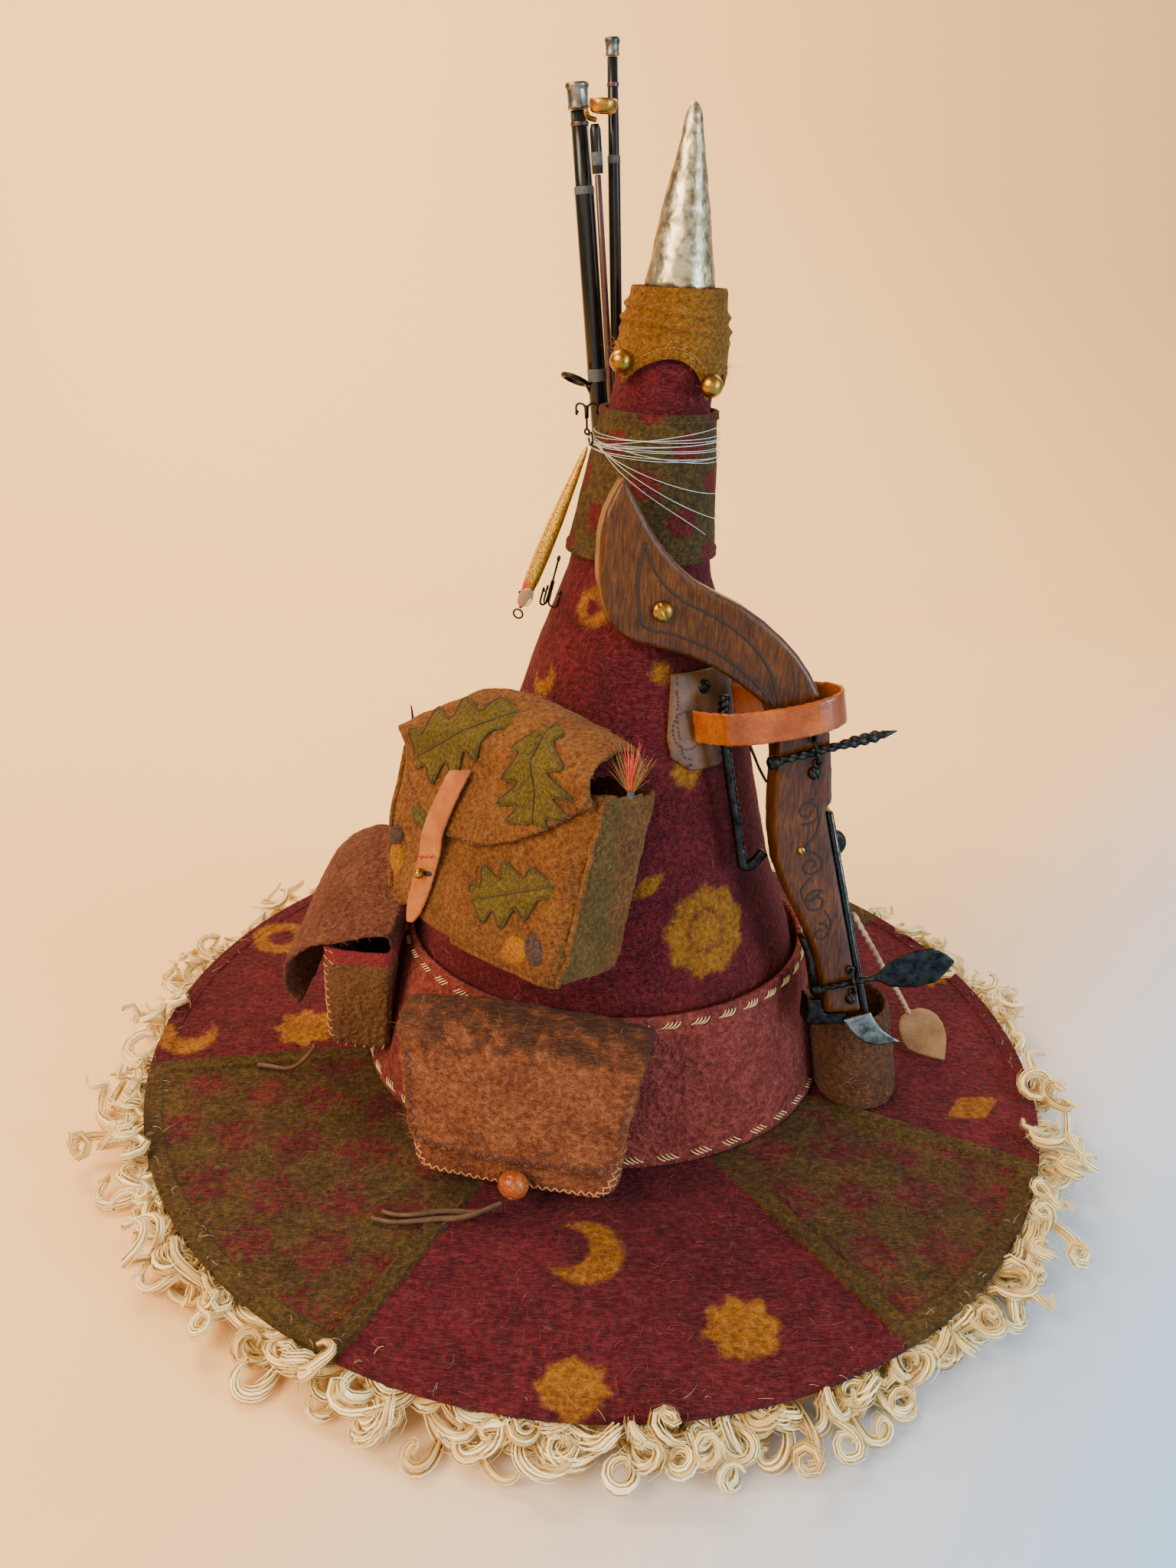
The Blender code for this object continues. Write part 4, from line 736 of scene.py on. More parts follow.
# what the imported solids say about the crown

def measureCrown():
    # middle and half widths of the crown at each millimetre of height, by looking in from the sides
    tree = treeOf(cadNodes["crown"])
    low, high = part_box("crown")
    facetLoss = math.cos(math.pi / 30)
    heights, middles, halvesX, halvesY = [], [], [], []
    height = low[2] + 0.5 * mm
    while height < high[2] - 0.3 * mm:
        hits = []
        for side in (Vector((1, 0, 0)), Vector((-1, 0, 0))):
            hit = tree.ray_cast(side * 0.4 + Vector((0, 0, height)), -side)[0]
            hits.append(hit.x)
        middle = (hits[0] + hits[1]) / 2
        front = tree.ray_cast(Vector((middle, -0.4, height)), Vector((0, 1, 0)))[0]
        heights.append(height)
        middles.append(middle)
        halvesX.append((hits[0] - hits[1]) / 2)
        halvesY.append(-front.y / facetLoss)
        height += 1.0 * mm
    return heights, middles, halvesX, halvesY


crownSections = measureCrown()


def crownAt(height):
    heights, middles, halvesX, halvesY = crownSections
    return (float(np.interp(height, heights, middles)), float(np.interp(height, heights, halvesX)),
            float(np.interp(height, heights, halvesY)))


def onCrown(azimuth, height, off=0.0):
    # a point at this azimuth in radians and height, this far off the crown
    middle, halfX, halfY = crownAt(height)
    return Vector((middle + (halfX + off) * math.cos(azimuth), (halfY + off) * math.sin(azimuth), height))


# needled shapes: each is a centre, two directions on the felt and a size, in millimetres

def crescent(u, v, size):
    bite, shift = 0.70, 0.46
    outer = math.hypot(u, v) - size
    inner = math.hypot(u + size * shift * 0.7, v - size * shift) - size * bite
    return max(outer, -inner)


def sunburst(u, v, size, points=8, depth=0.27):
    angle = math.atan2(v, u)
    wave = 0.5 + 0.5 * math.cos(points * angle)
    return math.hypot(u, v) - size * (1 - depth + depth * wave)


def hollowSun(u, v, size):
    ring = 0.9 - abs(math.hypot(u, v) - size * 0.42)
    return max(sunburst(u, v, size, 9, 0.13), ring)


def hoop(u, v, size):
    width = 0.26
    return abs(math.hypot(u, v) - size * (1 - width)) - size * width


def shard(u, v, size):
    return max(abs(u) * 0.8 + abs(v) * 1.7 - size, -0.4 * u - v - size * 0.55)


brimMotifs = (
    {"shape": crescent, "at": (-2.0, -151.0), "size": 17.0, "turn": 40.0},
    {"shape": sunburst, "at": (62.0, -187.0), "size": 17.0, "turn": 12.0},
    {"shape": sunburst, "at": (-5.0, -217.5), "size": 15.0, "turn": 40.0},
    {"shape": shard, "at": (193.0, -46.0), "size": 15.0, "turn": 30.0},
    {"shape": sunburst, "at": (199.0, 77.0), "size": 15.0, "turn": 0.0},
    {"shape": crescent, "at": (-216.0, -15.0), "size": 15.0, "turn": -40.0},
    {"shape": sunburst, "at": (-156.0, -3.0), "size": 17.0, "turn": 10.0},
    {"shape": hoop, "at": (-191.0, 85.0), "size": 17.0, "turn": 0.0},
    {"shape": crescent, "at": (-70.0, 185.0), "size": 17.0, "turn": 90.0},
    {"shape": sunburst, "at": (-126.0, 158.0), "size": 17.0, "turn": 20.0},
    {"shape": sunburst, "at": (-30.0, 140.0), "size": 13.0, "turn": 0.0},
)
crownMotifs = (
    {"shape": hollowSun, "azimuth": -57.5, "height": 131.0, "size": 22.0, "turn": 10.0},
    {"shape": hoop, "azimuth": -124.0, "height": 271.0, "size": 8.5, "turn": 0.0},
    {"shape": sunburst, "azimuth": -76.0, "height": 247.0, "size": 5.5, "turn": 0.0},
    {"shape": sunburst, "azimuth": -63.0, "height": 204.0, "size": 8.0, "turn": 0.0},
    {"shape": shard, "azimuth": -79.0, "height": 155.0, "size": 8.0, "turn": 40.0},
    {"shape": crescent, "azimuth": -148.0, "height": 236.0, "size": 8.0, "turn": 0.0},
    {"shape": sunburst, "azimuth": 150.0, "height": 190.0, "size": 14.0, "turn": 0.0},
    {"shape": crescent, "azimuth": 96.0, "height": 150.0, "size": 18.0, "turn": 30.0},
    {"shape": hollowSun, "azimuth": 40.0, "height": 205.0, "size": 15.0, "turn": 15.0},
    {"shape": sunburst, "azimuth": 70.0, "height": 262.0, "size": 9.0, "turn": 15.0},
    {"shape": hoop, "azimuth": 10.0, "height": 128.0, "size": 13.0, "turn": 15.0},
)


def motifDistance(point, motifs):
    nearest = 60.0
    for motif in motifs:
        apart = (point - motif["centre"]) / mm
        if apart.length > 45:
            continue
        u, v = apart.dot(motif["right"]), apart.dot(motif["up"])
        turn = math.radians(motif["turn"])
        u, v = u * math.cos(turn) + v * math.sin(turn), v * math.cos(turn) - u * math.sin(turn)
        nearest = min(nearest, motif["shape"](u, v, motif["size"]))
    return nearest


# brim

brimForm = {
    "radius": 230.0, "top": 23.0, "under": 20.0, "hole": 3.5,
    "seams": (-169.0, -115.5, -55.5, -23.0, 38.0, 100.0),
    "olive": (0, 2, 4),                  # panels, counted from the first seam, that are olive
    "hem": 8.5, "hemRise": 1.1, "seamRise": 2.2,
    "check": 22.0,                       # width of one check
}


def brimHeight(radius, offset, azimuth):
    # the top of the brim, in millimetres: seams with two corded edges, and a hem stitched twice
    form = brimForm
    fromRim = form["radius"] - radius
    side = abs(offset)
    cord = math.exp(-((side - 3.3) / 0.95) ** 2)
    seam = form["seamRise"] * (0.55 * (1 - smoothStep(3.6, 4.8, side)) + 0.55 * cord)
    seam *= smoothStep(0.0, 12.0, radius - 128) * smoothStep(0.0, 3.0, fromRim - form["hem"] + 2)
    hem = form["hemRise"] * (1 - smoothStep(form["hem"] - 0.8, form["hem"] + 0.3, fromRim))
    pucker = 0.75 + 0.25 * math.sin(azimuth * radius / 1.7)
    for row in (2.6, 6.6):
        hem -= 0.42 * pucker * math.exp(-((fromRim - row) / 0.55) ** 2)
    place = Vector((radius * math.cos(azimuth), radius * math.sin(azimuth), 0.0)) * mm
    swell = 0.45 * wool(place, 46.0, 2.0) + 0.28 * wool(place, 14.0, 7.0)
    return form["top"] + seam + hem + swell * smoothStep(0.0, 6.0, fromRim)


def makeBrim():
    form = brimForm
    _, holeX, holeY = crownAt(26 * mm)
    holeX, holeY = holeX / mm - form["hole"], holeY / mm - form["hole"]
    seams = [math.radians(azimuth) for azimuth in form["seams"]]
    reach = 8.0
    near = (-8.0, -6.2, -5.2, -4.5, -4.0, -3.4, -2.8, -1.6, 0.0, 1.6, 2.8, 3.4, 4.0, 4.5, 5.2, 6.2)
    columns = []
    for k, seam in enumerate(seams):
        after = seams[(k + 1) % len(seams)]
        after += tau if after < seam else 0.0
        olive = 1.0 if k in form["olive"] else 0.0
        before = 1.0 if (k - 1) % len(seams) in form["olive"] else 0.0
        middle = (seam + after) / 2
        for offset in near:
            share = lerp(before, olive, smoothStep(-1.0, 1.0, offset))
            columns.append((seam, offset, 0.0, offset, share, middle))
        steps = max(14, int((after - seam) * 32))
        for step in range(steps):
            share = step / steps
            apart = min(share, 1 - share) * 200 + reach
            columns.append((seam, reach * (1 - 2 * share), (after - seam) * share, apart, olive, middle))
    shares = [0.0, 0.02]
    shares += [0.03 + 0.87 * k / 44 for k in range(45)]
    insets = [10.6, 9.6, 9.0, 8.6, 8.2, 7.6, 7.1, 6.6, 6.1, 5.2, 4.2, 3.2, 2.6, 2.0, 1.2, 0.6, 0.2]
    rings, motif, check = [], [], []
    for motifItem in brimMotifs:
        motifItem["centre"] = Vector((*motifItem["at"], form["top"])) * mm
        motifItem["right"], motifItem["up"] = Vector((1, 0, 0)), Vector((0, 1, 0))

    def addRing(radiusOf, heightOf):
        ring = []
        for seam, offset, turn, apart, olive, middle in columns:
            angle = seam + turn
            hole = 1.0 / math.hypot(math.cos(angle) / holeX, math.sin(angle) / holeY)
            radius = radiusOf(hole)
            azimuth = angle + math.asin(offset / radius)
            place = polar(radius, azimuth, heightOf(radius, apart, azimuth)) * mm
            ring.append(place)
            motif.append(motifDistance(place, brimMotifs))
            a = place.x * math.cos(middle) + place.y * math.sin(middle)
            b = place.y * math.cos(middle) - place.x * math.sin(middle)
            a += 5.0 * mm * wool(place, 30.0, 11.0)
            b += 5.0 * mm * wool(place, 30.0, 14.0)
            cell = math.sin(math.pi * a / (form["check"] * mm)) * math.sin(math.pi * b / (form["check"] * mm))
            hemmed = smoothStep(form["hem"] + 2, form["hem"], form["radius"] - radius)
            strip = 1 - smoothStep(4.2, 5.0, abs(apart))
            red = smoothStep(-0.6, 0.5, cell) * (1 - hemmed) * (1 - strip) * 0.6
            check.append(max(olive, strip) * (1.0 - red))
        rings.append(ring)

    rim = form["radius"]
    for share in shares:
        addRing(lambda hole, share=share: lerp(hole, rim, share), brimHeight)
    for inset in insets:
        addRing(lambda hole, inset=inset: rim - inset, brimHeight)
    for outset, height in ((0.0, 23.2), (0.35, 22.5), (0.4, 21.5), (0.2, 20.5), (-0.4, 20.0)):
        addRing(lambda hole, outset=outset: rim + outset, lambda r, o, a, height=height: height)
    for inset in (4.0, 9.0, 20.0, 45.0, 80.0, 112.0):
        addRing(lambda hole, inset=inset: max(hole, rim - inset), lambda r, o, a: form["under"])
    piece = skin("felt_brim", list(reversed(rings)), "brim", "olive_felt", "brim", along=True)
    setValues(piece, "motif", list(reversedRings(motif, len(columns))))
    setValues(piece, "check", list(reversedRings(check, len(columns))))
    return piece


def reversedRings(values, columns):
    rows = [values[k:k + columns] for k in range(0, len(values), columns)]
    return [value for row in reversed(rows) for value in row]


feltBrim = makeBrim()
say("brim is sewn")


# crown

crownForm = {"wall": 2.6, "columns": 140, "step": 3.0, "lump": 0.8, "pebble": 0.3}


def makeCrown():
    form = crownForm
    low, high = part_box("crown")
    bottom, top = low[2] / mm + 0.1, high[2] / mm
    for motifItem in crownMotifs:
        azimuth, height = math.radians(motifItem["azimuth"]), motifItem["height"] * mm
        centre = onCrown(azimuth, height)
        right = (onCrown(azimuth + 0.02, height) - centre).normalized()
        up = (onCrown(azimuth, height + 2 * mm) - centre).normalized()
        motifItem.update(centre=centre, right=right, up=up)
    rows = int((top - bottom) / form["step"])
    rings, motif = [], []
    for r in range(rows + 1):
        height = lerp(bottom, top - 0.6, r / rows)
        ring = []
        for c in range(form["columns"]):
            azimuth = tau * c / form["columns"]
            flat = onCrown(azimuth, height * mm)
            off = form["lump"] * wool(flat, 38.0, 3.0) + form["pebble"] * wool(flat, 7.0, 9.0)
            ring.append(onCrown(azimuth, height * mm, off * mm))
            motif.append(motifDistance(flat, crownMotifs))
        rings.append(ring)
    for shrink, height in ((0.8, top - 0.2), (0.4, top)):
        middle, halfX, _ = crownAt((top - 0.6) * mm)
        rings.append([Vector((middle, 0, 0)) + polar(halfX * shrink, tau * c / form["columns"], height * mm)
                      for c in range(form["columns"])])
        motif += [60.0] * form["columns"]
    inner = []
    for share in (1.0, 0.75, 0.5, 0.25, 0.0):
        height = lerp(bottom, top - 4.0, share)
        ring = []
        for c in range(form["columns"]):
            ring.append(onCrown(tau * c / form["columns"], height * mm, -form["wall"] * mm))
        inner.append(ring)
        motif += [60.0] * form["columns"]
    piece = skin("felt_crown", rings + inner, "crown", "burgundy_felt", "crown", along=True)
    setValues(piece, "motif", motif)
    return piece


feltCrown = makeCrown()
say("crown is felted")


# band, sleeve and collar

bandForm = {"bottom": 24.3, "top": 99.0, "wall": 2.6, "flare": 3.0, "ease": 0.7, "columns": 270, "rows": 38,
            "stitchPitch": 15.0, "stitchLong": 9.0}


def bandOff(height):
    form = bandForm
    return form["ease"] + form["flare"] * max(0.0, (height - form["bottom"]) / (form["top"] - form["bottom"]))


def makeBand():
    form = bandForm
    bottom, top, wall = form["bottom"], form["top"], form["wall"]
    profile = [(bottom, 0.25), (bottom + 0.1, wall - 0.5)]
    profile += [(lerp(bottom + 0.7, top - 0.9, r / form["rows"]), wall) for r in range(form["rows"] + 1)]
    profile += [(top - 0.2, wall - 0.4), (top, wall * 0.5), (top - 0.3, 0.2)]
    profile += [(lerp(top - 3, bottom + 3, r / 5), 0.0) for r in range(6)]
    rings = []
    for height, out in profile:
        ring = []
        for c in range(form["columns"]):
            azimuth = tau * c / form["columns"]
            place = onCrown(azimuth, height * mm, (bandOff(height) + out) * mm)
            if out > 1.0:
                edge = min(height - bottom, top - height)
                out = wall + 0.42 * wool(place, 4.4, 4.0) + 0.35 * wool(place, 16.0, 8.0)
                out -= 0.5 * math.exp(-((edge - 5.5) / 1.2) ** 2)
                place = onCrown(azimuth, height * mm, (bandOff(height) + out) * mm)
            ring.append(place)
        rings.append(ring)
    return skin("felt_band", rings, "band", "rose_felt", "hat_band", along=True)


def onBand(azimuth, height, off):
    return onCrown(azimuth, height * mm, (bandOff(height) + bandForm["wall"] + off) * mm)


def makeBandStitches():
    # short dashes of a few cream threads along both edges, and a stitched end on the right side
    form = bandForm
    routes = []
    count = int(tau * 105 / form["stitchPitch"])
    for k in range(count):
        azimuth = tau * k / count
        turn = form["stitchLong"] / 105.0
        for edge, tall in ((form["top"], -1.0), (form["bottom"], 1.0)):
            for thread in range(4):
                first = azimuth + turn * 0.22 * thread
                route = []
                for share, off in ((0.0, -0.4), (0.2, 0.35), (0.5, 0.6), (0.8, 0.35), (1.0, -0.4)):
                    height = edge + tall * (lerp(5.6, 2.6, share) + 0.2 * thread)
                    route.append(onBand(first + turn * 0.45 * share, height, off))
                routes.append(route)
    tubes("band_stitches", routes, 0.33, "creamThread", 5, "mustard_felt")
    seam = []
    for k in range(16):
        height = lerp(form["bottom"] + 7, form["top"] - 8, k / 15)
        seam.append([onBand(math.radians(-31.0) + 0.003 * (k % 2), height + step, off)
                     for step, off in ((0.0, -0.4), (0.8, 0.35), (2.4, 0.35), (3.2, -0.4))])
    tubes("band_seam", seam, 0.4, "brownThread", 5, "rose_felt")


sleeveForm = {"bottom": 290.5, "top": 351.5, "ease": 0.6, "wall": 2.3, "columns": 120, "check": 15.0}


def makeSleeve():
    form = sleeveForm
    bottom, top = form["bottom"], form["top"]
    profile = [(bottom, 0.6)] + [(lerp(bottom + 0.2, top - 0.2, r / 44), form["wall"]) for r in range(45)]
    profile += [(top, 0.8)] + [(lerp(top - 1.0, bottom + 1.0, r / 4), 0.0) for r in range(5)]
    rings, check = [], []
    for height, out in profile:
        ring = []
        for c in range(form["columns"]):
            azimuth = tau * c / form["columns"]
            edge = min(height - bottom, top - height)
            place = onCrown(azimuth, height * mm)
            off = form["ease"] + out
            if out > 1.0:
                off += 0.8 * (1 - smoothStep(3.6, 4.4, edge)) - 0.35 * math.exp(-((edge - 2.8) / 0.45) ** 2)
                off += 0.35 * wool(place, 9.0, 2.0) + 0.15 * wool(place, 3.0, 6.0)
            ring.append(onCrown(azimuth, height * mm, off * mm))
            cell = math.sin(azimuth * 5 + 0.6) * math.sin(math.pi * (height - 286) / form["check"])
            check.append(smoothStep(-0.8, 0.1, cell))
        rings.append(ring)
    piece = skin("checked_sleeve", rings, "sleeve", "olive_felt", "cone_wrap", along=True)
    setValues(piece, "check", check)
    routes = []
    for height in (bottom + 2.8, top - 2.8):
        for k in range(60):
            azimuth = tau * k / 60
            off = (form["ease"] + form["wall"] + 0.75) * mm
            routes.append([onCrown(azimuth + turn, height * mm, off + rise * mm)
                           for turn, rise in ((0.0, -0.5), (0.015, 0.0), (0.055, 0.0), (0.07, -0.5))])
    tubes("sleeve_stitches", routes, 0.32, "brownThread", 5, "olive_felt")


collarForm = {
    "arch": 373.0, "top": 399.5, "wall": 2.0, "columns": 168, "rows": 46,
    "points": ((-46.0, 354.5), (-4.0, 360.0), (70.0, 357.0), (146.0, 359.0), (222.0, 361.0)),
    "ridges": ((390.6, 1.7), (385.2, 1.9), (380.8, 0.8)),
}


def collarEdge(azimuth):
    # height of the collar's lower edge: an arch between each pair of points
    points = collarForm["points"]
    first = points[0]
    here = (azimuth - first[0]) % 360.0 + first[0]
    for (low, lowAt), (high, highAt) in zip(points, points[1:] + ((first[0] + 360.0, first[1]),)):
        if here <= high:
            share = (here - low) / (high - low)
            base = lerp(lowAt, highAt, share)
            rise = (collarForm["arch"] - base) * min(1.0, (high - low) / 70.0)
            return base + rise * math.sin(math.pi * share) ** 0.6
    return first[1]


def onCollar(azimuth, height, off=0.0):
    # the collar's outside at this azimuth in degrees, with its rolled ridges, higher on the left
    middle, halfX, _ = crownAt(height * mm)
    slope = 2.2 * math.cos(math.radians(azimuth))
    radius = halfX / mm + 3.4 + 1.1 * smoothStep(395.0, 360.0, height)
    for ridge, rise in collarForm["ridges"]:
        radius += rise * math.exp(-((height + slope - ridge) / 1.5) ** 2)
    return Vector((middle, 0, 0)) + polar((radius + off) * mm, math.radians(azimuth), height * mm)


def makeCollar():
    form = collarForm
    shares = [r / form["rows"] for r in range(form["rows"] + 1)]
    rings = []
    for share, inner in [(s, False) for s in shares] + [(s, True) for s in (0.985, 0.8, 0.5, 0.2, 0.015)]:
        ring = []
        for c in range(form["columns"]):
            azimuth = 360.0 * c / form["columns"]
            low = collarEdge(azimuth)
            height = lerp(low, form["top"], share)
            place = onCollar(azimuth, height)
            edge = min(share, 1 - share) * form["rows"]
            off = 0.22 * wool(place, 3.2, 5.0) + 0.3 * wool(place, 9.0, 1.0)
            off -= 0.55 * (1 - smoothStep(0.0, 2.0, edge))
            off -= 0.45 * math.exp(-((height - low - 4.4) / 0.5) ** 2)
            ring.append(onCollar(azimuth, height, -form["wall"] if inner else off))
        rings.append(ring)
    skin("scalloped_collar", rings, "collar", "mustard_felt", "gold_collar", along=True)
    routes = []
    for k in range(90):
        azimuth = 4.0 * k
        route = []
        for turn, rise in ((0.0, -0.3), (0.6, 0.15), (2.2, 0.15), (2.8, -0.3)):
            route.append(onCollar(azimuth + turn, collarEdge(azimuth + turn) + 4.4, rise))
        routes.append(route)
    return tubes("collar_stitches", routes, 0.3, "mustardThread", 5, "mustard_felt")


# silver tip and beads

def measureRound(node):
    # (height, middle, radius) of a round solid all the way up, by looking in from four sides
    tree = treeOf(cadNodes[node])
    low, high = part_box(node)
    rows, step = [], 0.8
    height = low[2] + 0.4 * mm
    guess = Vector(((low[0] + high[0]) / 2, (low[1] + high[1]) / 2, 0.0))
    while height < high[2] - 0.2 * mm:
        hits = []
        for side in (Vector((1, 0, 0)), Vector((-1, 0, 0)), Vector((0, 1, 0)), Vector((0, -1, 0))):
            hits.append(tree.ray_cast(guess + side * 0.2 + Vector((0, 0, height)), -side)[0])
        if None not in hits:
            middle = Vector(((hits[0].x + hits[1].x) / 2, (hits[2].y + hits[3].y) / 2, height))
            rows.append((height, middle, (hits[0].x - hits[1].x) / 2))
            guess = Vector((middle.x, middle.y, 0.0))
        height += step * mm
    return rows


def makeTip():
    # foil pressed over a cone: shallow dents with sharp ridges between them
    rows = measureRound("silver_tip")
    columns = 110
    rings = []
    for _, middle, radius in rows:
        ring = []
        for c in range(columns):
            azimuth = tau * c / columns
            place = middle + polar(radius, azimuth)
            folds = 0.35 - 0.75 * abs(wool(place, 11.0, 3.0)) - 0.4 * abs(wool(place, 5.0, 6.0))
            folds += 0.30 * wool(place, 16.0, 1.0) - 0.15 * abs(wool(place, 2.4, 2.0))
            ring.append(middle + polar(radius + folds * min(1.0, radius / (4 * mm)) * mm, azimuth))
        rings.append(ring)
    last = rows[-1]
    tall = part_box("silver_tip")[1][2]
    for share in (0.7, 0.35):
        middle = Vector((last[1].x, last[1].y, lerp(tall, last[0], share ** 1.5)))
        rings.append([middle + polar(last[2] * share, tau * c / columns) for c in range(columns)])
    skin("foil_tip", rings, "foil", "silver_foil", "silver_tip", ends=bothEnds)


def makeBeads():
    for node in ("collar_bead_left", "collar_bead_front", "collar_bead_right"):
        centre, size = boxMiddle(node)
        bead = ball(node.replace("collar", "brass"), centre, size.z / 2, "brass", "satin_gold", node)
        for vert in bead.data.vertices:      # a fine seam where the two halves of the bead meet
            tilt = (vert.co - centre).normalized().dot(Vector((0.3, 0.2, 0.93)))
            vert.co -= (vert.co - centre) * 0.02 * math.exp(-(tilt / 0.05) ** 2)


feltBand = makeBand()
makeBandStitches()
makeSleeve()
feltCollar = makeCollar()
makeTip()
makeBeads()
say("band, sleeve, collar and tip are on")


# curled fleece round the brim, in millimetres

fleece = {
    "edge": 230.6, "locks": 464, "strands": 13, "hairs": 4, "steps": 16,
    "thick": 3.0,                        # half width of a lock at its fullest
    "strand": 0.50, "hair": 0.10,        # half widths of one strand and one stray hair
    "reach": 33.0, "trim": 0.3,          # past the brim, and how much shorter in front and behind
    "low": 1.4, "high": 33.0,
}


def fringeReach(azimuth):
    return fleece["edge"] + fleece["reach"] * (1.0 - fleece["trim"] * math.sin(azimuth) ** 2)


def lockLine(chance, azimuth, layer):
    # the middle line of a lock: its turning tightens towards the tip, as a wool curl's does
    form = fleece
    outward = polar(1.0, azimuth)
    along = Vector((-outward.y, outward.x, 0.0))
    hand = chance.choice((-1.0, 1.0))
    axis = Vector((0, 0, 0.9)) + outward * chance.uniform(-0.3, 0.9) + along * chance.uniform(-0.6, 0.6)
    axis.normalize()
    heading = outward + along * chance.uniform(-0.8, 0.8)
    heading = (heading - axis * heading.dot(axis)).normalized()
    share = (fringeReach(azimuth) - form["edge"]) / form["reach"]
    step = chance.uniform(52, 96) * lerp(0.62, 1.0, layer / 2) * share / form["steps"]
    slack, tight = chance.uniform(0.02, 0.12), chance.uniform(0.17, 0.40)
    start = chance.uniform(0.0, 0.28)
    wave, waveAt = chance.uniform(0.03, 0.10), chance.uniform(0, tau)
    point = outward * (form["edge"] - chance.uniform(1, 8)) + Vector((0, 0, chance.uniform(5, 18.2)))
    far = fringeReach(azimuth) + chance.uniform(-7.0, 2.0)
    points = [point.copy()]
    for k in range(form["steps"]):
        along = k / form["steps"]
        rate = lerp(slack, tight, smoothStep(start, 1.0, along)) * hand + wave * math.sin(waveAt + along * 9)
        heading = (Matrix.Rotation(rate * step, 3, axis) @ heading + axis * 0.011 * step).normalized()
        point = point + heading * step
        if point.z < form["low"] + 2.5:
            point.z = lerp(point.z, form["low"] + 2.5, 0.7)
        if point.z > form["high"] - 6:
            point.z = lerp(point.z, form["high"] - 6, 0.5)
        reach = math.hypot(point.x, point.y)
        if reach > far:
            point.x *= lerp(1.0, far / reach, 0.8)
            point.y *= lerp(1.0, far / reach, 0.8)
        if reach < form["edge"] + 3 and 16.5 < point.z < 27.0:
            point.z = 16.5
        points.append(point.copy())
    return points


class Strands:
    # gathers many thin tubes as arrays, with a share along each and a tint for each
    def __init__(self):
        self.verts, self.faces, self.along, self.tint, self.count = [], [], [], [], 0

    def add(self, centre, across, over, width, sides, tint):
        length = len(centre)
        ring = []
        for c in range(sides):
            turn = tau * c / sides
            ring.append(centre + width[:, None] * (math.cos(turn) * across + math.sin(turn) * over))
        self.verts.append(np.stack(ring, axis=1).reshape(-1, 3))
        k = np.arange(length - 1)
        for c in range(sides if sides > 2 else 1):
            low, high = self.count + k * sides, self.count + (k + 1) * sides
            after = (c + 1) % sides
            self.faces.append(np.stack((low + c, low + after, high + after, high + c), axis=1))
        self.along.append(np.repeat(np.linspace(0, 1, length), sides))
        self.tint.append(np.full(length * sides, tint))
        self.count += length * sides

    def build(self, name, finish, slot, *nodes):
        verts, faces = np.concatenate(self.verts), np.concatenate(self.faces)
        mesh = bpy.data.meshes.new(name)
        mesh.vertices.add(len(verts))
        mesh.vertices.foreach_set("co", (verts * mm).astype(np.float32).ravel())
        mesh.loops.add(faces.size)
        mesh.loops.foreach_set("vertex_index", faces.astype(np.int32).ravel())
        mesh.polygons.add(len(faces))
        mesh.polygons.foreach_set("loop_start", np.arange(0, faces.size, 4, dtype=np.int32))
        mesh.update(calc_edges=True)
        made = addPiece(name, mesh, finish, slot, *nodes)
        setValues(made, "along", np.concatenate(self.along))
        setValues(made, "tint", np.concatenate(self.tint))
        return made


def addLock(chance, strands, line):
    # strands wound loosely round the lock's middle line, and a few hairs that stray from it
    form = fleece
    count = len(line)
    frames = [(tuple(point), tuple(side), tuple(other)) for point, _, side, other in framesAlong(line)]
    middle, sides, others = (np.array(column) for column in zip(*frames))
    share = np.linspace(0, 1, count)
    body = form["thick"] * chance.uniform(0.7, 1.2) * (0.3 + 0.7 * np.sin(math.pi * (share * 0.86 + 0.12)))
    twist = chance.uniform(1.0, 4.0) * chance.choice((-1, 1))
    tint = chance.random()
    strands.add(middle, sides, others, body * 0.5, 4, 0.1)
    for j in range(form["strands"] + form["hairs"]):
        hair = j >= form["strands"]
        angle = tau * (j + chance.random() * 0.6) / form["strands"] + twist * share
        off = body * (chance.uniform(0.45, 1.2) if not hair else chance.uniform(0.9, 1.5) + share * 0.8)
        if hair:
            off = off + chance.uniform(0.0, 1.5) * np.sin(share * chance.uniform(4, 9) + j)
        centre = middle + (np.cos(angle) * off)[:, None] * sides + (np.sin(angle) * off)[:, None] * others
        centre[:, 2] = np.maximum(centre[:, 2], 0.8)
        width = form["hair"] if hair else form["strand"] * chance.uniform(0.7, 1.2)
        flat = np.cos(angle)[:, None] * others - np.sin(angle)[:, None] * sides
        strands.add(centre, flat, flat, width * (1.0 - 0.85 * share ** 3), 2,
                    min(1.0, max(0.0, tint + chance.uniform(-0.5, 0.5))))


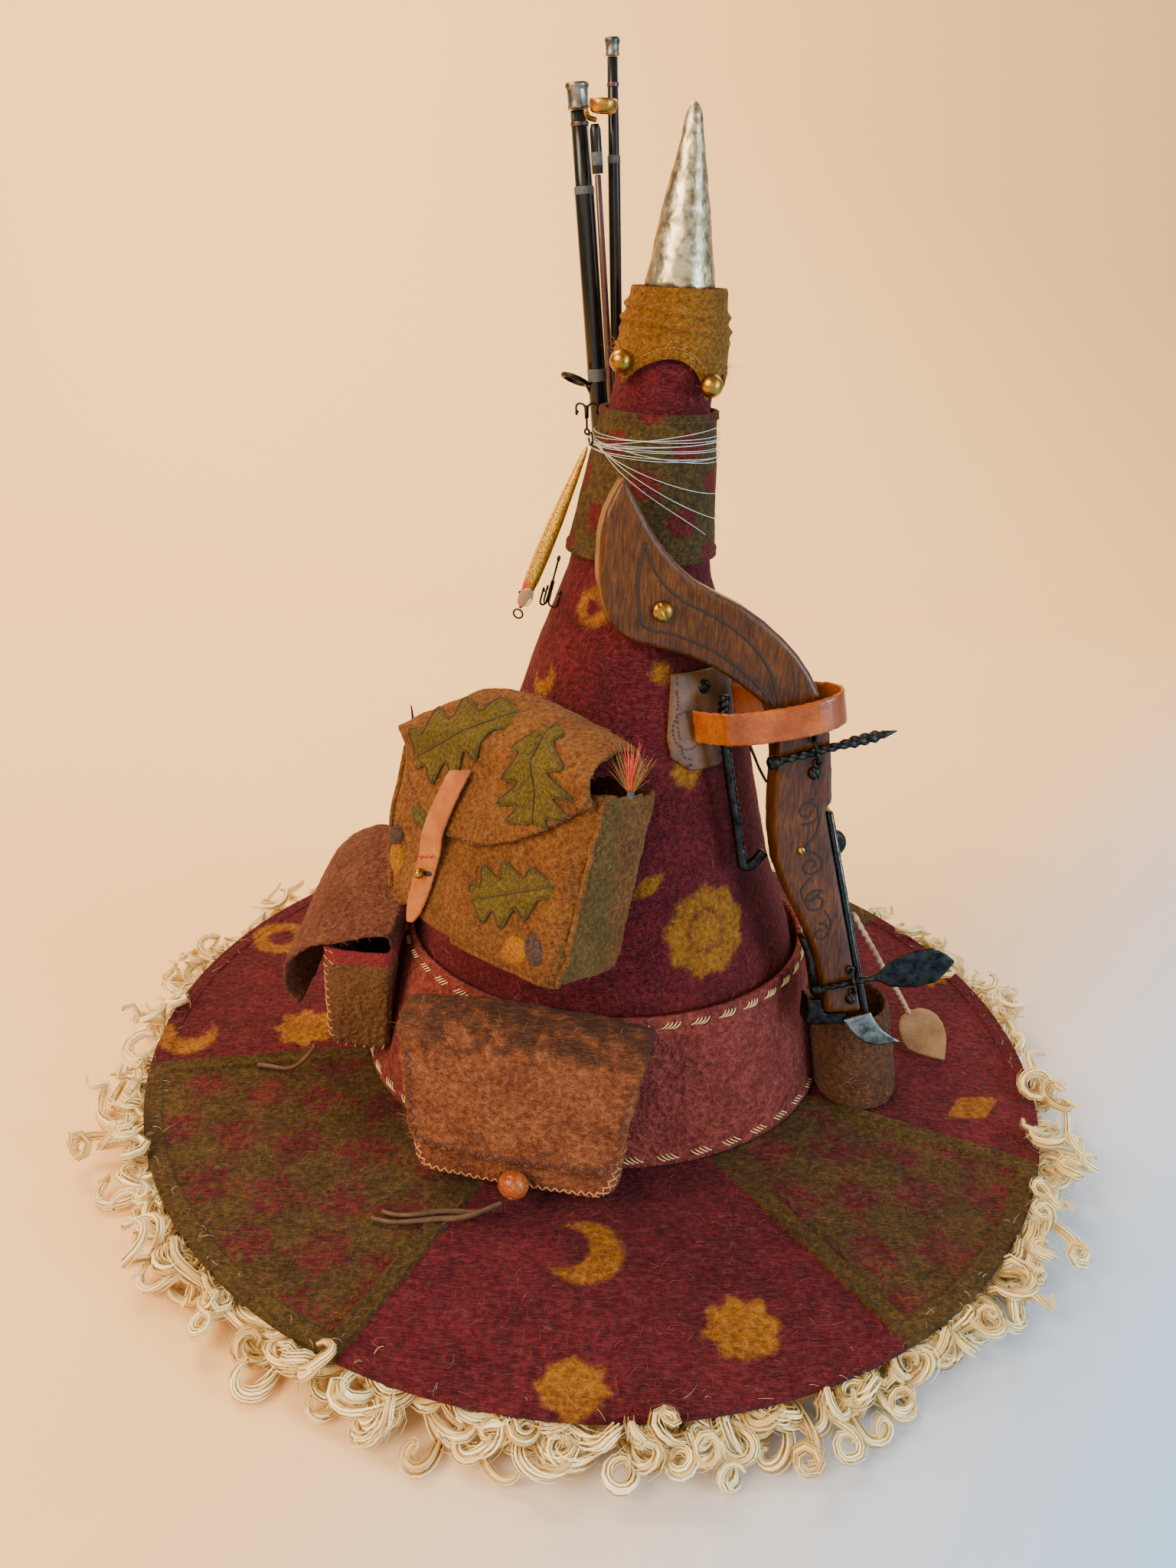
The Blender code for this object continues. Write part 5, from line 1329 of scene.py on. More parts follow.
def makeFleece():
    # the locks in four pieces, each a quarter of the way round, over a lumpy mass of wool
    form = fleece
    for quarter in range(4):
        chance = random.Random(40 + quarter)
        strands = Strands()
        count = form["locks"] // 4
        for k in range(count):
            azimuth = tau * (quarter + (k + chance.uniform(-0.4, 0.4)) / count) / 4
            addLock(chance, strands, lockLine(chance, azimuth, k % 3))
        nodes = ["fleece_fringe"] if quarter == 0 else []
        strands.build("fleece_locks_" + "abcd"[quarter], "wool", "cream_fleece", *nodes)
    columns, rows = 420, 14
    rings = []
    for r in range(rows):
        ring = []
        angle = tau * r / rows
        for c in range(columns):
            azimuth = tau * c / columns
            place = polar(form["edge"], azimuth, angle * 12) * mm
            lump = 1.0 + 0.30 * wool(place, 13.0, 2.0) + 0.16 * wool(place, 4.0, 3.0)
            radius = 216.5 + (6.4 + 2.5 * wool(place, 24.0, 9.0)) * lump * math.cos(angle)
            ring.append(polar(radius, azimuth, 9.0 + 7.6 * min(1.12, lump) * math.sin(angle)) * mm)
        rings.append(ring)
    under = skin("fleece_mass", list(reversed(rings)), "wool", "cream_fleece", along=True)
    for vert in under.data.vertices:
        vert.co.z = min(max(vert.co.z, 0.4 * mm), 19.4 * mm)
    values = [0.35 + 0.3 * wool(vert.co, 12.0, 4.0) for vert in under.data.vertices]
    # the mass under the locks takes the dark root colour, as painted shade
    setValues(under, "along", [0.05] * len(values))
    setValues(under, "tint", values)


makeFleece()
say("fleece is curled")


# felt bags: each has a frame of its own, with X to the right, Y up and Z out of it, as one faces it

bagFrames = {
    "backpack": frameMatrix(-29.8, -68.4, 128.0, -134.2, 14.2, 5.4),
    "frontPouch": frameMatrix(-31.0, -99.0, 27.0, -100.0, 10.0, 0.0),
    "leftPouch": frameMatrix(-99.0, -7.0, 41.0, 176.0, 3.0, 0.0),
}


def localPoints(piece, matrix):
    inverse = matrix.inverted()
    return [inverse @ vert.co / mm for vert in piece.data.vertices]


def drop(tree, matrix, x, y, off):
    # the point and normal of the surface straight behind (x, y), as one faces the frame
    outward = (matrix.to_3x3() @ Vector((0, 0, 1))).normalized()
    hit, normal, _, _ = tree.ray_cast(matrix @ (Vector((x, y, 110.0)) * mm), -outward)
    if hit is None:
        hit, normal, _, _ = tree.find_nearest(matrix @ (Vector((x, y, 40.0)) * mm))
    if normal.dot(outward) < 0:
        normal = -normal
    return hit + normal * off * mm, normal


def laidRoute(tree, matrix, points, off, steps=8):
    # a smooth line through (x, y) points, laid on the surface
    line = smoothRoute([(x, y, 0.0) for x, y in points], steps)
    return [drop(tree, matrix, p.x, p.y, off)[0] for p in line]


def walkAlong(points, pitch):
    # (place, direction) every so often along a smooth line through (x, y) points
    line = smoothRoute([(x, y, 0.0) for x, y in points], 12)
    spots, gone, due = [], 0.0, 0.0
    for a, b in zip(line, line[1:]):
        length = (b - a).length
        while due <= gone + length and length > 0:
            spots.append((a.lerp(b, (due - gone) / length), (b - a).normalized()))
            due += pitch
        gone += length
    return spots


def stitchRoute(tree, matrix, start, end):
    rise, route = 0.45, []
    for share, off in ((0.0, -0.4), (0.18, rise * 0.7), (0.5, rise), (0.82, rise * 0.7), (1.0, -0.4)):
        x, y = lerp(start[0], end[0], share), lerp(start[1], end[1], share)
        route.append(drop(tree, matrix, x, y, off)[0])
    return route


def stitched(tree, matrix, points, pitch, reach, pattern):
    # routes for a row of stitches along a line: running, zigzag, cross or whip
    routes = []
    for k, (place, ahead) in enumerate(walkAlong(points, pitch)):
        side = Vector((-ahead.y, ahead.x, 0.0))
        a, b = place - ahead * pitch / 2, place + ahead * pitch / 2
        low, high = side * -reach / 2, side * reach / 2
        if pattern == "running":
            pairs = [(place - ahead * pitch * 0.3, place + ahead * pitch * 0.3)]
        elif pattern == "zigzag":
            pairs = [(a + low, b + high) if k % 2 else (a + high, b + low)]
        elif pattern == "cross":
            pairs = [(a + low, b + high), (a + high, b + low)]
        else:
            pairs = [(place + low, place + high + ahead * pitch * 0.25)]
        routes += [stitchRoute(tree, matrix, start, end) for start, end in pairs]
    return routes


def leafPatch(name, tree, matrix, base, tip, width, lobes):
    # an oak leaf of thin felt: its two halves widen and narrow in turn towards the tip
    base, tip = Vector((*base, 0.0)), Vector((*tip, 0.0))
    ahead = (tip - base).normalized()
    side = Vector((-ahead.y, ahead.x, 0.0))
    length = (tip - base).length
    rows, columns, thick = 64, 20, 1.3

    def spot(share, across):
        swell = math.sin(math.pi * min(1.0, 0.03 + share * 0.97)) ** 0.55 * lerp(0.75, 1.0, share)
        shift = 0.0 if across > 0 else 0.45
        lobe = 0.74 + 0.26 * math.cos(tau * (share * lobes - shift))
        reach = width * swell * lobe * abs(across)
        forward = length * share + 0.42 * reach
        return base + ahead * forward + side * (reach if across > 0 else -reach)

    rings = []
    for r in range(rows + 1):
        ring = []
        for c in range(columns + 1):
            across = 2.0 * c / columns - 1.0
            place = spot(r / rows, across)
            edge = min(1.0, (1 - abs(across)) * 4, r / 4, (rows - r) / 4)
            vein = math.exp(-(across / 0.07) ** 2)
            off = -0.5 + (thick + 0.5) * edge ** 0.5 - 0.55 * vein * edge
            ring.append(drop(tree, matrix, place.x, place.y, off)[0])
        rings.append(ring)
    skin(name, rings, "leaf", "olive_felt", around=False)
    lines = [[spot(k / 20, 0.0) for k in range(21)]]
    for half in (-1.0, 1.0):
        shift = 0.0 if half > 0 else 0.45
        for n in range(int(lobes) + 1):
            share = (n + shift) / lobes
            if 0.12 < share < 0.93:
                start = spot(max(0.02, share - 0.13), 0.0)
                end = spot(share, half * 0.92)
                lines.append([start.lerp(end, t / 6) + ahead * 1.2 * math.sin(math.pi * t / 6)
                              for t in range(7)])
        lines.append([spot(k / 60, half * 0.93) for k in range(2, 60)])
    routes = [[drop(tree, matrix, p.x, p.y, thick - 0.15)[0] for p in line] for line in lines]
    tubes(name + "_veins", routes, 0.32, "oliveThread", 5, "olive_felt")


def ovalPatch(name, tree, matrix, centre, halfX, halfY, turn, finish, slot, thick=1.4, point=0.0):
    turn = math.radians(turn)
    rings = []
    for share in (1.0, 0.97, 0.9, 0.75, 0.5, 0.25, 0.02):
        ring = []
        for c in range(40):
            angle = tau * c / 40
            u = halfX * share * math.cos(angle)
            v = halfY * share * math.sin(angle) * (1.0 + point * max(0.0, math.sin(angle)) ** 6)
            x = centre[0] + u * math.cos(turn) - v * math.sin(turn)
            y = centre[1] + u * math.sin(turn) + v * math.cos(turn)
            ring.append(drop(tree, matrix, x, y, -0.5 + (thick + 0.5) * (1 - share ** 6) ** 0.5)[0])
        rings.append(ring)
    return skin(name, rings, finish, slot, ends=("last",))


def makeBackpack():
    matrix = bagFrames["backpack"]
    body = softCopy("backpack_felt", "backpack_body", "bag", "brown_felt", 2.5, 4, 0.45, 9.0, 1.0)
    places = localPoints(body, matrix)
    side = [smoothStep(-0.8, 0.8, p.x - lerp(52.5, 61.5, p.y / 82.0)) for p in places]
    setValues(body, "check", [max(share, 0.45 * wool(p * mm, 19.0, 6.0)) for share, p in zip(side, places)])
    flap = softCopy("backpack_cover", "backpack_flap", "bag", "brown_felt", 1.7, 7, 0.4, 9.0, 3.0)
    setValues(flap, "check", [0.5 * wool(vert.co, 19.0, 7.0) for vert in flap.data.vertices])
    bodyTree, flapTree = treeOf(body), treeOf(flap)
    piping = []
    for points in (((53.5, 1.5), (57.5, 22.0), (60.0, 41.0), (62.5, 60.0), (65.0, 79.0)),
                   ((-50.0, 13.0), (-55.0, 26.0), (-58.0, 42.0), (-59.0, 58.0), (-58.5, 76.0)),
                   ((-49.0, 11.5), (-38.0, 6.0), (-20.0, 2.6), (0.0, 1.6), (28.0, 1.6), (52.0, 1.4))):
        piping.append(laidRoute(bodyTree, matrix, points, 0.5))
    tubes("backpack_piping", piping, 1.25, "bag", 10, "brown_felt")
    edge = ((-50.0, 67.0), (-43.0, 61.0), (-33.0, 54.0), (-20.0, 49.0), (0.0, 48.2), (18.0, 51.5),
            (34.0, 58.0), (48.0, 68.0), (60.0, 80.0))
    corner = ((50.5, 3.0), (54.5, 22.0), (57.5, 41.0), (60.0, 60.0))
    seams = stitched(flapTree, matrix, edge, 2.6, 1.0, "running")
    seams += stitched(bodyTree, matrix, corner, 2.8, 1.0, "running")
    tubes("backpack_stitches", seams, 0.3, "brownThread", 5, "brown_felt")
    leafPatch("leaf_left", flapTree, matrix, (8.0, 104.0), (-44.0, 74.0), 21.0, 4.0)
    leafPatch("leaf_right", flapTree, matrix, (27.0, 103.0), (34.0, 64.0), 25.0, 4.0)
    leafPatch("leaf_low", bodyTree, matrix, (47.0, 42.0), (5.0, 24.0), 17.0, 3.6)
    leafPatch("leaf_side", bodyTree, matrix, (-44.0, 52.0), (-22.0, 44.0), 8.0, 2.6)
    for name, at, capAt, turn in (("acorn_right", (33.0, 10.5), (42.5, 14.0), -58.0),
                                  ("acorn_left", (-50.0, 27.0), (-53.0, 36.0), 18.0)):
        ovalPatch(name, bodyTree, matrix, at, 6.2, 7.0, turn + 180.0, "acorn", "mustard_felt", 1.3, 0.25)
        ovalPatch(name + "_cup", bodyTree, matrix, capAt, 6.6, 4.6, turn, "acornCap", "dark_leather", 1.8)
    strap = softCopy("backpack_thong", "backpack_strap", "strap", "tan_leather", 0.75, 6, 0.10, 9.0, 2.0)
    strapTree = treeOf(strap)
    red = stitched(strapTree, matrix, ((-27.8, 33.5), (-17.6, 36.5)), 1.6, 1.4, "zigzag")
    tubes("strap_stitches", red, 0.28, "redThread", 5, "tan_leather")
    slot = ovalPatch("strap_slot", strapTree, matrix, (-22.4, 27.4), 3.2, 1.3, 12.0, "carving",
                     "dark_leather", 0.06)
    for vert in slot.data.vertices:
        vert.co += matrix.to_3x3() @ Vector((0, 0, 0.3 * mm))
    centre, size = boxMiddle("backpack_stud")
    ball("brass_stud", centre, size.x / 2, "brass", "satin_gold", "backpack_stud")
    return body, flap


def makeFrontPouch():
    matrix = bagFrames["frontPouch"]
    body = softCopy("front_pouch_felt", "front_pouch_body", "pouch", "brown_felt", 2.0, 4, 0.45, 8.0, 11.0)
    setValues(body, "stain", [0.0] * len(body.data.vertices))
    flap = softCopy("front_pouch_cover", "front_pouch_flap", "pouch", "brown_felt", 1.7, 7, 0.55, 8.0, 13.0)
    stain = []
    for p in localPoints(flap, matrix):
        crown = smoothStep(46.0, 74.0, p.y)
        spots = 0.35 * max(0.0, wool(matrix @ (p * mm), 11.0, 21.0))
        stain.append(crown * 0.62 + spots)
    setValues(flap, "stain", stain)
    flapTree, bodyTree = treeOf(flap), treeOf(body)
    inside = ((-49.5, 60.0), (-48.0, 45.0), (-46.0, 30.0), (-43.5, 22.5), (-36.0, 18.6), (0.0, 18.0),
              (36.0, 18.6), (43.5, 22.5), (46.0, 30.0), (48.0, 45.0), (49.5, 60.0))
    zigzag = stitched(flapTree, matrix, inside, 2.7, 3.4, "zigzag")
    tubes("pouch_zigzag", zigzag, 0.42, "brownThread", 5, "brown_felt")
    lower = ((-45.5, 26.0), (-45.0, 14.0), (-42.0, 6.0), (-34.0, 2.6), (0.0, 1.8), (34.0, 2.6), (43.0, 7.0),
             (48.0, 20.0), (50.0, 36.0), (51.5, 52.0))
    copper = stitched(bodyTree, matrix, lower, 3.9, 4.4, "cross")
    tubes("pouch_crosses", copper, 0.36, "copperThread", 5, "brown_felt")
    makeToggle(matrix)
    return body, flap


def makeToggle(matrix):
    # a glossy bead with a bored and countersunk hole, facing a little up
    centre, size = boxMiddle("toggle_bead")
    half = size.x / 2 / mm
    stand = Matrix.Translation(centre) @ matrix.to_3x3().to_4x4() @ Matrix.Rotation(math.radians(38), 4, "X")
    profile = [(1.1, -half * 0.90)]
    profile += [(half * math.cos(a), half * 0.9 * math.sin(a)) for a in np.linspace(-1.33, 1.33, 27)]
    profile += [(1.5, half * 0.86), (1.1, half * 0.7), (1.0, -half * 0.6)]
    skin("toggle_ball", turnedRings(profile, stand, 40), "toggle", "stained_wood", "toggle_bead", along=True)


def makeLeftPouch():
    matrix = bagFrames["leftPouch"]
    body = softCopy("left_pouch_felt", "left_pouch_body", "leftBox", "brown_felt", 1.8, 4, 0.4, 8.0, 17.0)
    places = localPoints(body, matrix)
    ribs = [0.4 * math.sin((p.x + p.z) * 1.35) * smoothStep(2.0, 5.0, p.y) * smoothStep(53.0, 50.0, p.y)
            for p in places]
    pushOut(body.data, ribs)
    setValues(body, "stain", [smoothStep(51.0, 53.0, p.y) * 0.9 for p in places])
    flap = softCopy("left_pouch_cover", "left_pouch_flap", "leftPouch", "brown_felt", 1.7, 7, 0.5, 9.0, 19.0)
    spots = [0.62 * max(0.0, wool(vert.co, 12.0, 23.0)) + 0.2 * wool(vert.co, 30.0, 3.0)
             for vert in flap.data.vertices]
    setValues(flap, "stain", spots)
    # whip stitches along the outer and lower edges of the side that shows
    tree = treeOf(body)
    side = frameMatrix(-115.0, -49.0, 41.0, -93.0, 0.0, 0.0)
    outer = ((-18.0, 60.0), (-18.5, 40.0), (-18.0, 20.0), (-17.0, 5.0))
    routes = stitched(tree, side, outer, 4.6, 4.0, "whip")
    routes += stitched(tree, side, ((-15.0, 3.2), (0.0, 2.6), (14.0, 2.6)), 4.6, 3.4, "whip")
    tubes("left_pouch_whips", routes, 0.38, "copperThread", 5, "brown_felt")
    return body, flap


def makeSidePocket():
    pocket = softCopy("pocket_felt", "side_pocket", "pocket", "brown_felt", 1.8, 4, 0.6, 6.0, 27.0)
    return pocket


feltBags = [*makeBackpack(), *makeFrontPouch(), *makeLeftPouch(), makeSidePocket()]
say("bags are sewn")


# stray fibres that stand off the felt, in millimetres

fuzz = {"steps": 4, "width": 0.05, "short": 2.0, "long": 7.5, "lift": 1.5, "sink": 0.3}


def makeFuzz(name, piece, count, seed, finish, slot, chosen=None):
    # fibres at seeded places on the piece's faces, or only on the faces that a function chooses
    faces = len(piece.data.polygons)
    centres, normals, areas = np.empty(faces * 3), np.empty(faces * 3), np.empty(faces)
    piece.data.polygons.foreach_get("center", centres)
    piece.data.polygons.foreach_get("normal", normals)
    piece.data.polygons.foreach_get("area", areas)
    centres, normals = centres.reshape(-1, 3) / mm, normals.reshape(-1, 3)
    if chosen is not None:
        areas = areas * chosen(centres, normals)
    chance = np.random.default_rng(seed)
    strands = Strands()
    share = np.linspace(0, 1, fuzz["steps"])[:, None]
    for k in chance.choice(faces, count, p=areas / areas.sum()):
        out = normals[k]
        side = np.cross(out, chance.normal(size=3))
        side /= np.linalg.norm(side)
        other = np.cross(out, side)
        length = chance.uniform(fuzz["short"], fuzz["long"])
        lift = chance.uniform(0.3, 1.0) * fuzz["lift"]
        curl, rise = chance.uniform(-0.6, 0.6) * length, chance.uniform(0.5, 1.0) * math.pi
        spot = centres[k] + chance.uniform(-0.8, 0.8, 3) * (1 - np.abs(out)) - out * fuzz["sink"]
        path = spot + out * lift * np.sin(share * rise) + side * length * share + other * curl * share ** 2
        across = np.repeat((other * 0.8 + out * 0.6)[None, :], fuzz["steps"], axis=0)
        strands.add(path, across, across, fuzz["width"] * (1.0 - 0.6 * share[:, 0]), 2, chance.random())
    strands.build(name, finish, slot)


def onTop(centres, normals):
    return normals[:, 2] > 0.6


def outside(centres, normals):
    return centres[:, 0] * normals[:, 0] + centres[:, 1] * normals[:, 1] > 0.0


def nearRim(centres, normals):
    reach = np.hypot(centres[:, 0], centres[:, 1])
    return (normals[:, 2] > 0.3) * (reach > 222.0)


makeFuzz("brim_fuzz", feltBrim, 3200, 61, "redFuzz", "burgundy_felt", onTop)
makeFuzz("rim_fuzz", feltBrim, 170, 62, "paleFuzz", "cream_fleece", nearRim)
makeFuzz("crown_fuzz", feltCrown, 2800, 63, "redFuzz", "burgundy_felt", outside)
makeFuzz("band_fuzz", feltBand, 900, 64, "redFuzz", "rose_felt", outside)
makeFuzz("collar_fuzz", feltCollar, 320, 65, "goldFuzz", "mustard_felt", outside)
for number, piece in enumerate(feltBags):
    makeFuzz(piece.name + "_fuzz", piece, 560, 70 + number, "brownFuzz", "brown_felt")
say("felt is fuzzy")


# leather on the crown

def edgeStitches(name, piece, matrix, points, pitch):
    routes = stitched(treeOf(piece), matrix, points, pitch, 1.0, "running")
    tubes(name, routes, 0.26, "brownThread", 5, "dark_leather")


def makeHolster():
    patch = softCopy("holster_leather", "holster_patch", "patch", "dark_leather", 0.85, 7, 0.12, 10.0, 6.0)
    softCopy("holster_band", "holster_strap", "orangeStrap", "tan_leather", 0.85, 8, 0.10, 12.0, 8.0)
    seen = frameMatrix(37.0, -46.0, 226.0, -58.0, 16.0, 0.0)
    outline = ((-14.0, 21.0), (-14.5, 8.0), (-16.0, -4.0), (-13.0, -14.0), (-3.0, -21.0))
    edgeStitches("patch_edge", patch, seen, outline, 2.2)
    lobe = [(7.0 * math.cos(a) - 3.5, 8.5 * math.sin(a) - 3.0) for a in np.linspace(0.9, 5.4, 12)]
    edgeStitches("patch_lobe", patch, seen, lobe, 2.0)


def makeRivet():
    centre, _ = boxMiddle("patch_rivet")
    out = Vector((centre.x - crownAt(centre.z)[0], centre.y, 0.012)).normalized()
    stand = Matrix.Translation(centre - out * 1.2 * mm) @ out.to_track_quat("Z", "Y").to_matrix().to_4x4()
    profile = [(3.4, 0.0), (3.5, 0.5), (3.1, 1.1), (2.5, 1.35),
               (2.3, 1.2), (1.9, 1.9), (1.2, 2.3), (0.1, 2.4)]
    turned("rivet_head", profile, stand, "iron", "black_iron", "patch_rivet")


makeHolster()
makeRivet()
say("leather is fixed")


# toy crossbow: its frame lies on the front face of the stock

crossbowFrame = frameMatrix(115.0, -64.7, 85.0, -82.0, 6.28, 0.0)


def place(x, y, z):
    return crossbowFrame @ (Vector((x, y, z)) * mm)


def scroll(centre, size, hand, turn, turns=1.35):
    # a line that winds in to the centre
    points, steps = [], 26
    for k in range(steps + 1):
        share = k / steps
        angle = math.radians(turn) + hand * tau * turns * share
        radius = size * (1 - 0.78 * share)
        points.append((centre[0] + radius * math.cos(angle), centre[1] + radius * math.sin(angle)))
    return points


def makeStock():
    stock = softCopy("carved_stock", "crossbow_stock", "wood", "stained_wood", 1.3, 5, 0.05, 20.0, 5.0)
    tree = treeOf(stock)
    lines = [
        ((-103.0, 222.0), (-105.0, 210.0), (-104.6, 198.0), (-101.5, 188.0), (-88.0, 184.5), (-70.0, 177.0),
         (-54.0, 165.0), (-41.0, 150.5)),
        ((-103.0, 222.0), (-97.0, 209.0), (-87.0, 199.5), (-72.0, 192.0), (-58.0, 182.5), (-47.0, 169.0),
         (-41.0, 150.5)),
    ]
    lines += [scroll((-25.5, 106.0), 6.2, 1.0, 250.0), scroll((-21.5, 80.5), 5.8, -1.0, 80.0),
              scroll((-17.5, 62.5), 6.0, 1.0, 60.0), scroll((-14.0, 47.0), 4.8, -1.0, 100.0, 1.1)]
    lines += [((-24.0, 112.0), (-19.8, 105.0), (-20.5, 96.0), (-24.5, 89.0), (-20.8, 86.6)),
              ((-21.0, 74.6), (-25.0, 68.5), (-22.0, 63.0), (-14.8, 68.0)),
              ((-13.0, 58.0), (-9.6, 52.0), (-11.0, 46.0))]
    routes = [laidRoute(tree, crossbowFrame, line, 0.05, 6) for line in lines]
    tubes("stock_carving", routes, 0.52, "carving", 6, "stained_wood")


def headProfile(radius, height):
    # a domed head with a turned-in foot
    dome = [(radius * math.cos(a), height * (0.12 + 0.88 * math.sin(a))) for a in np.linspace(0.15, 1.52, 12)]
    return [(radius * 0.9, 0.0), (radius, height * 0.12)] + dome


def makeScrews():
    for node, radius, height, at, key, slot in (
            ("grip_screw", 4.4, 2.6, (-94.4, 194.5), "brass", "satin_gold"),
            ("small_screw", 1.8, 1.0, (-26.7, 87.7), "brass", "satin_gold"),
            ("upper_bolt_screw", 3.0, 2.4, (-24.0, 124.0), "iron", "black_iron"),
            ("lower_bolt_screw", 2.6, 2.4, (3.4, 12.6), "iron", "black_iron")):
        stand = crossbowFrame @ Matrix.Translation(Vector((*at, 0.3)) * mm)
        profile = headProfile(radius, height)
        head = turned(node.replace("screw", "head"), profile, stand, key, slot, node, sides=36)
        for vert in head.data.vertices:      # the groove for the driver
            p = stand.inverted() @ vert.co / mm
            if p.z > height * 0.5:
                cut = math.exp(-((p.x + p.y * 0.6) / 0.45) ** 2)
                vert.co -= (stand.to_3x3() @ Vector((0, 0, 0.5 * mm))) * cut


def makeRails():
    for name, node, key, slot, voxel in (
            ("bow_rail", "crossbow_rail", "lacquer", "black_lacquer", 0.75),
            ("side_rail", "crossbow_left_rail", "iron", "black_iron", 0.5),
            ("bow_block", "crossbow_prod_block", "iron", "black_iron", 0.75),
            ("bow_limb", "crossbow_limb", "steel", "dull_steel", 0.5),
            ("bow_knob", "crossbow_knob", "iron", "black_iron", 0.75),
            ("trigger_wire", "crossbow_trigger_wire", "iron", "black_iron", 0.35)):
        softCopy(name, node, key, slot, voxel, 3, 0.08, 5.0, 9.0)
    edge = [place(x, y, -2.6) for x, y in ((-13.2, 103.8), (-1.0, 57.0), (12.4, 3.4))]
    tubes("rail_edge", [edge], 0.35, "steel", 6, "dull_steel")


def makeTrigger():
    # a bar twisted like a rope, flat where it turns to the stock
    route = [(-64.0, 157.0, -8.0), (-64.0, 146.0, -8.0), (-62.0, 133.0, -8.0), (-57.0, 108.0, -8.0),
             (-52.0, 84.0, -8.0), (-50.5, 78.0, -8.0), (-46.5, 78.5, -8.0), (-41.4, 84.5, -8.0)]
    path = smoothRoute(route, 16)
    rings, gone = [], 0.0
    for k, point in enumerate(path):
        ahead = (path[min(k + 1, len(path) - 1)] - path[max(k - 1, 0)]).normalized()
        side = Vector((-ahead.y, ahead.x, 0.0))
        gone += (point - path[k - 1]).length if k else 0.0
        ring = []
        for c in range(16):
            angle = tau * c / 16
            lobe = 0.5 + 0.5 * math.cos(3 * angle - tau * gone / 3.2)
            width = 2.55 - (0.75 * lobe if point.y > 84.0 else 0.15)
            at = point + side * width * math.cos(angle) + Vector((0, 0, width * math.sin(angle)))
            ring.append(place(*at))
        rings.append(ring)
    skin("twisted_trigger", rings, "iron", "black_iron", "crossbow_trigger", ends=bothEnds)


boltForms = {
    "upper_bolt": {
        "start": (-46.0, 129.0, 2.3), "end": (13.6, 144.0, 2.3),
        "sections": ((0.0, 1.6, 1.6), (1.0, 3.0, 2.8), (4.0, 3.0, 2.8), (5.5, 1.9, 1.9), (22.0, 2.2, 2.2),
                     (33.0, 2.0, 2.0), (38.0, 2.9, 2.2), (49.0, 2.9, 2.0), (53.5, 1.5, 1.4),
                     (58.4, 0.3, 0.3)),
        "twist": 0.30, "plain": 52.0,
    },
    "lower_bolt": {
        "start": (-17.0, 18.4, 1.8), "end": (51.6, 31.0, 1.8),
        "sections": ((0.0, 1.6, 1.6), (1.0, 2.8, 2.5), (4.0, 2.8, 2.5), (5.5, 1.7, 1.7), (30.0, 1.6, 1.6),
                     (33.0, 2.6, 1.0), (38.0, 6.6, 0.7), (50.0, 9.6, 0.7), (60.0, 9.0, 0.7), (66.0, 4.6, 0.6),
                     (69.4, 0.6, 0.4)),
        "twist": 0.26, "plain": 31.0,
    },
}


def makeBolt(node):
    # a little wrought arrow: a twisted shaft, then its head
    form = boltForms[node]
    start, end = Vector(form["start"]), Vector(form["end"])
    ahead = (end - start).normalized()
    across = Vector((-ahead.y, ahead.x, 0.0))
    at, halves, thicks = zip(*form["sections"])
    rings = []
    for distance in np.linspace(0.0, at[-1], 120):
        half, thick = np.interp(distance, at, halves), np.interp(distance, at, thicks)
        ring = []
        for c in range(18):
            angle = tau * c / 18
            twist = 1.0
            if 5.0 < distance < form["plain"]:
                twist -= form["twist"] * (0.5 + 0.5 * math.cos(2 * angle - distance * 1.35))
            point = start + ahead * distance + across * half * twist * math.cos(angle)
            ring.append(place(point.x, point.y, point.z + thick * twist * math.sin(angle)))
        rings.append(ring)
    skin(node.replace("bolt", "arrow"), rings, "iron", "black_iron", node, ends=bothEnds)
    # a wrought clip holds the arrow to the stock
    clip = []
    middle = start + ahead * (22.0 if node == "upper_bolt" else 20.0)
    for away in (-1.0, 1.0):
        foot = middle + across * away * 6.0
        clip.append([place(*(middle + across * away * share * 6.0).xy, 0.9 + 3.6 * (1 - share ** 2))
                     for share in (0.0, 0.25, 0.5, 0.75, 1.0)])
        clip.append([place(foot.x + 1.4 * math.cos(a), foot.y + 1.4 * math.sin(a), 0.9)
                     for a in np.linspace(0, tau, 12)])
    tubes(node + "_clip", clip, 0.8, "iron", 8, "black_iron")


makeStock()
makeScrews()
makeRails()
makeTrigger()
makeBolt("upper_bolt")
makeBolt("lower_bolt")
say("crossbow is strapped on")


# rods, guides and lure

rodForms = {
    "thick_rod": {"foot": (-7.8, 27.3, 318.0), "top": (-25.6, 25.0, 473.2), "radius": 4.1, "ferrule": 9.5},
    "thin_rod": {"foot": (-1.1, 29.4, 318.0), "top": (-12.0, 26.0, 489.4), "radius": 2.6, "ferrule": 6.5},
    "tip_rod": {"foot": (-5.3, 19.4, 345.0), "top": (-15.6, 19.0, 440.0), "radius": 1.6, "ferrule": 0.0},
}


def rodMatrix(form):
    foot, top = Vector(form["foot"]) * mm, Vector(form["top"]) * mm
    matrix = (top - foot).to_track_quat("Z", "Y").to_matrix().to_4x4()
    matrix.translation = foot
    return matrix, (top - foot).length / mm


def windings(radius, low, high):
    # the ridged outline of thread wound closely round a rod
    wire, profile = 0.22, []
    for height in np.arange(low, high, wire):
        profile.append((radius + 0.12 * abs(math.sin(math.pi * (height - low) / (wire * 3))), float(height)))
    return [(radius - 0.4, low)] + profile + [(radius - 0.4, high)]


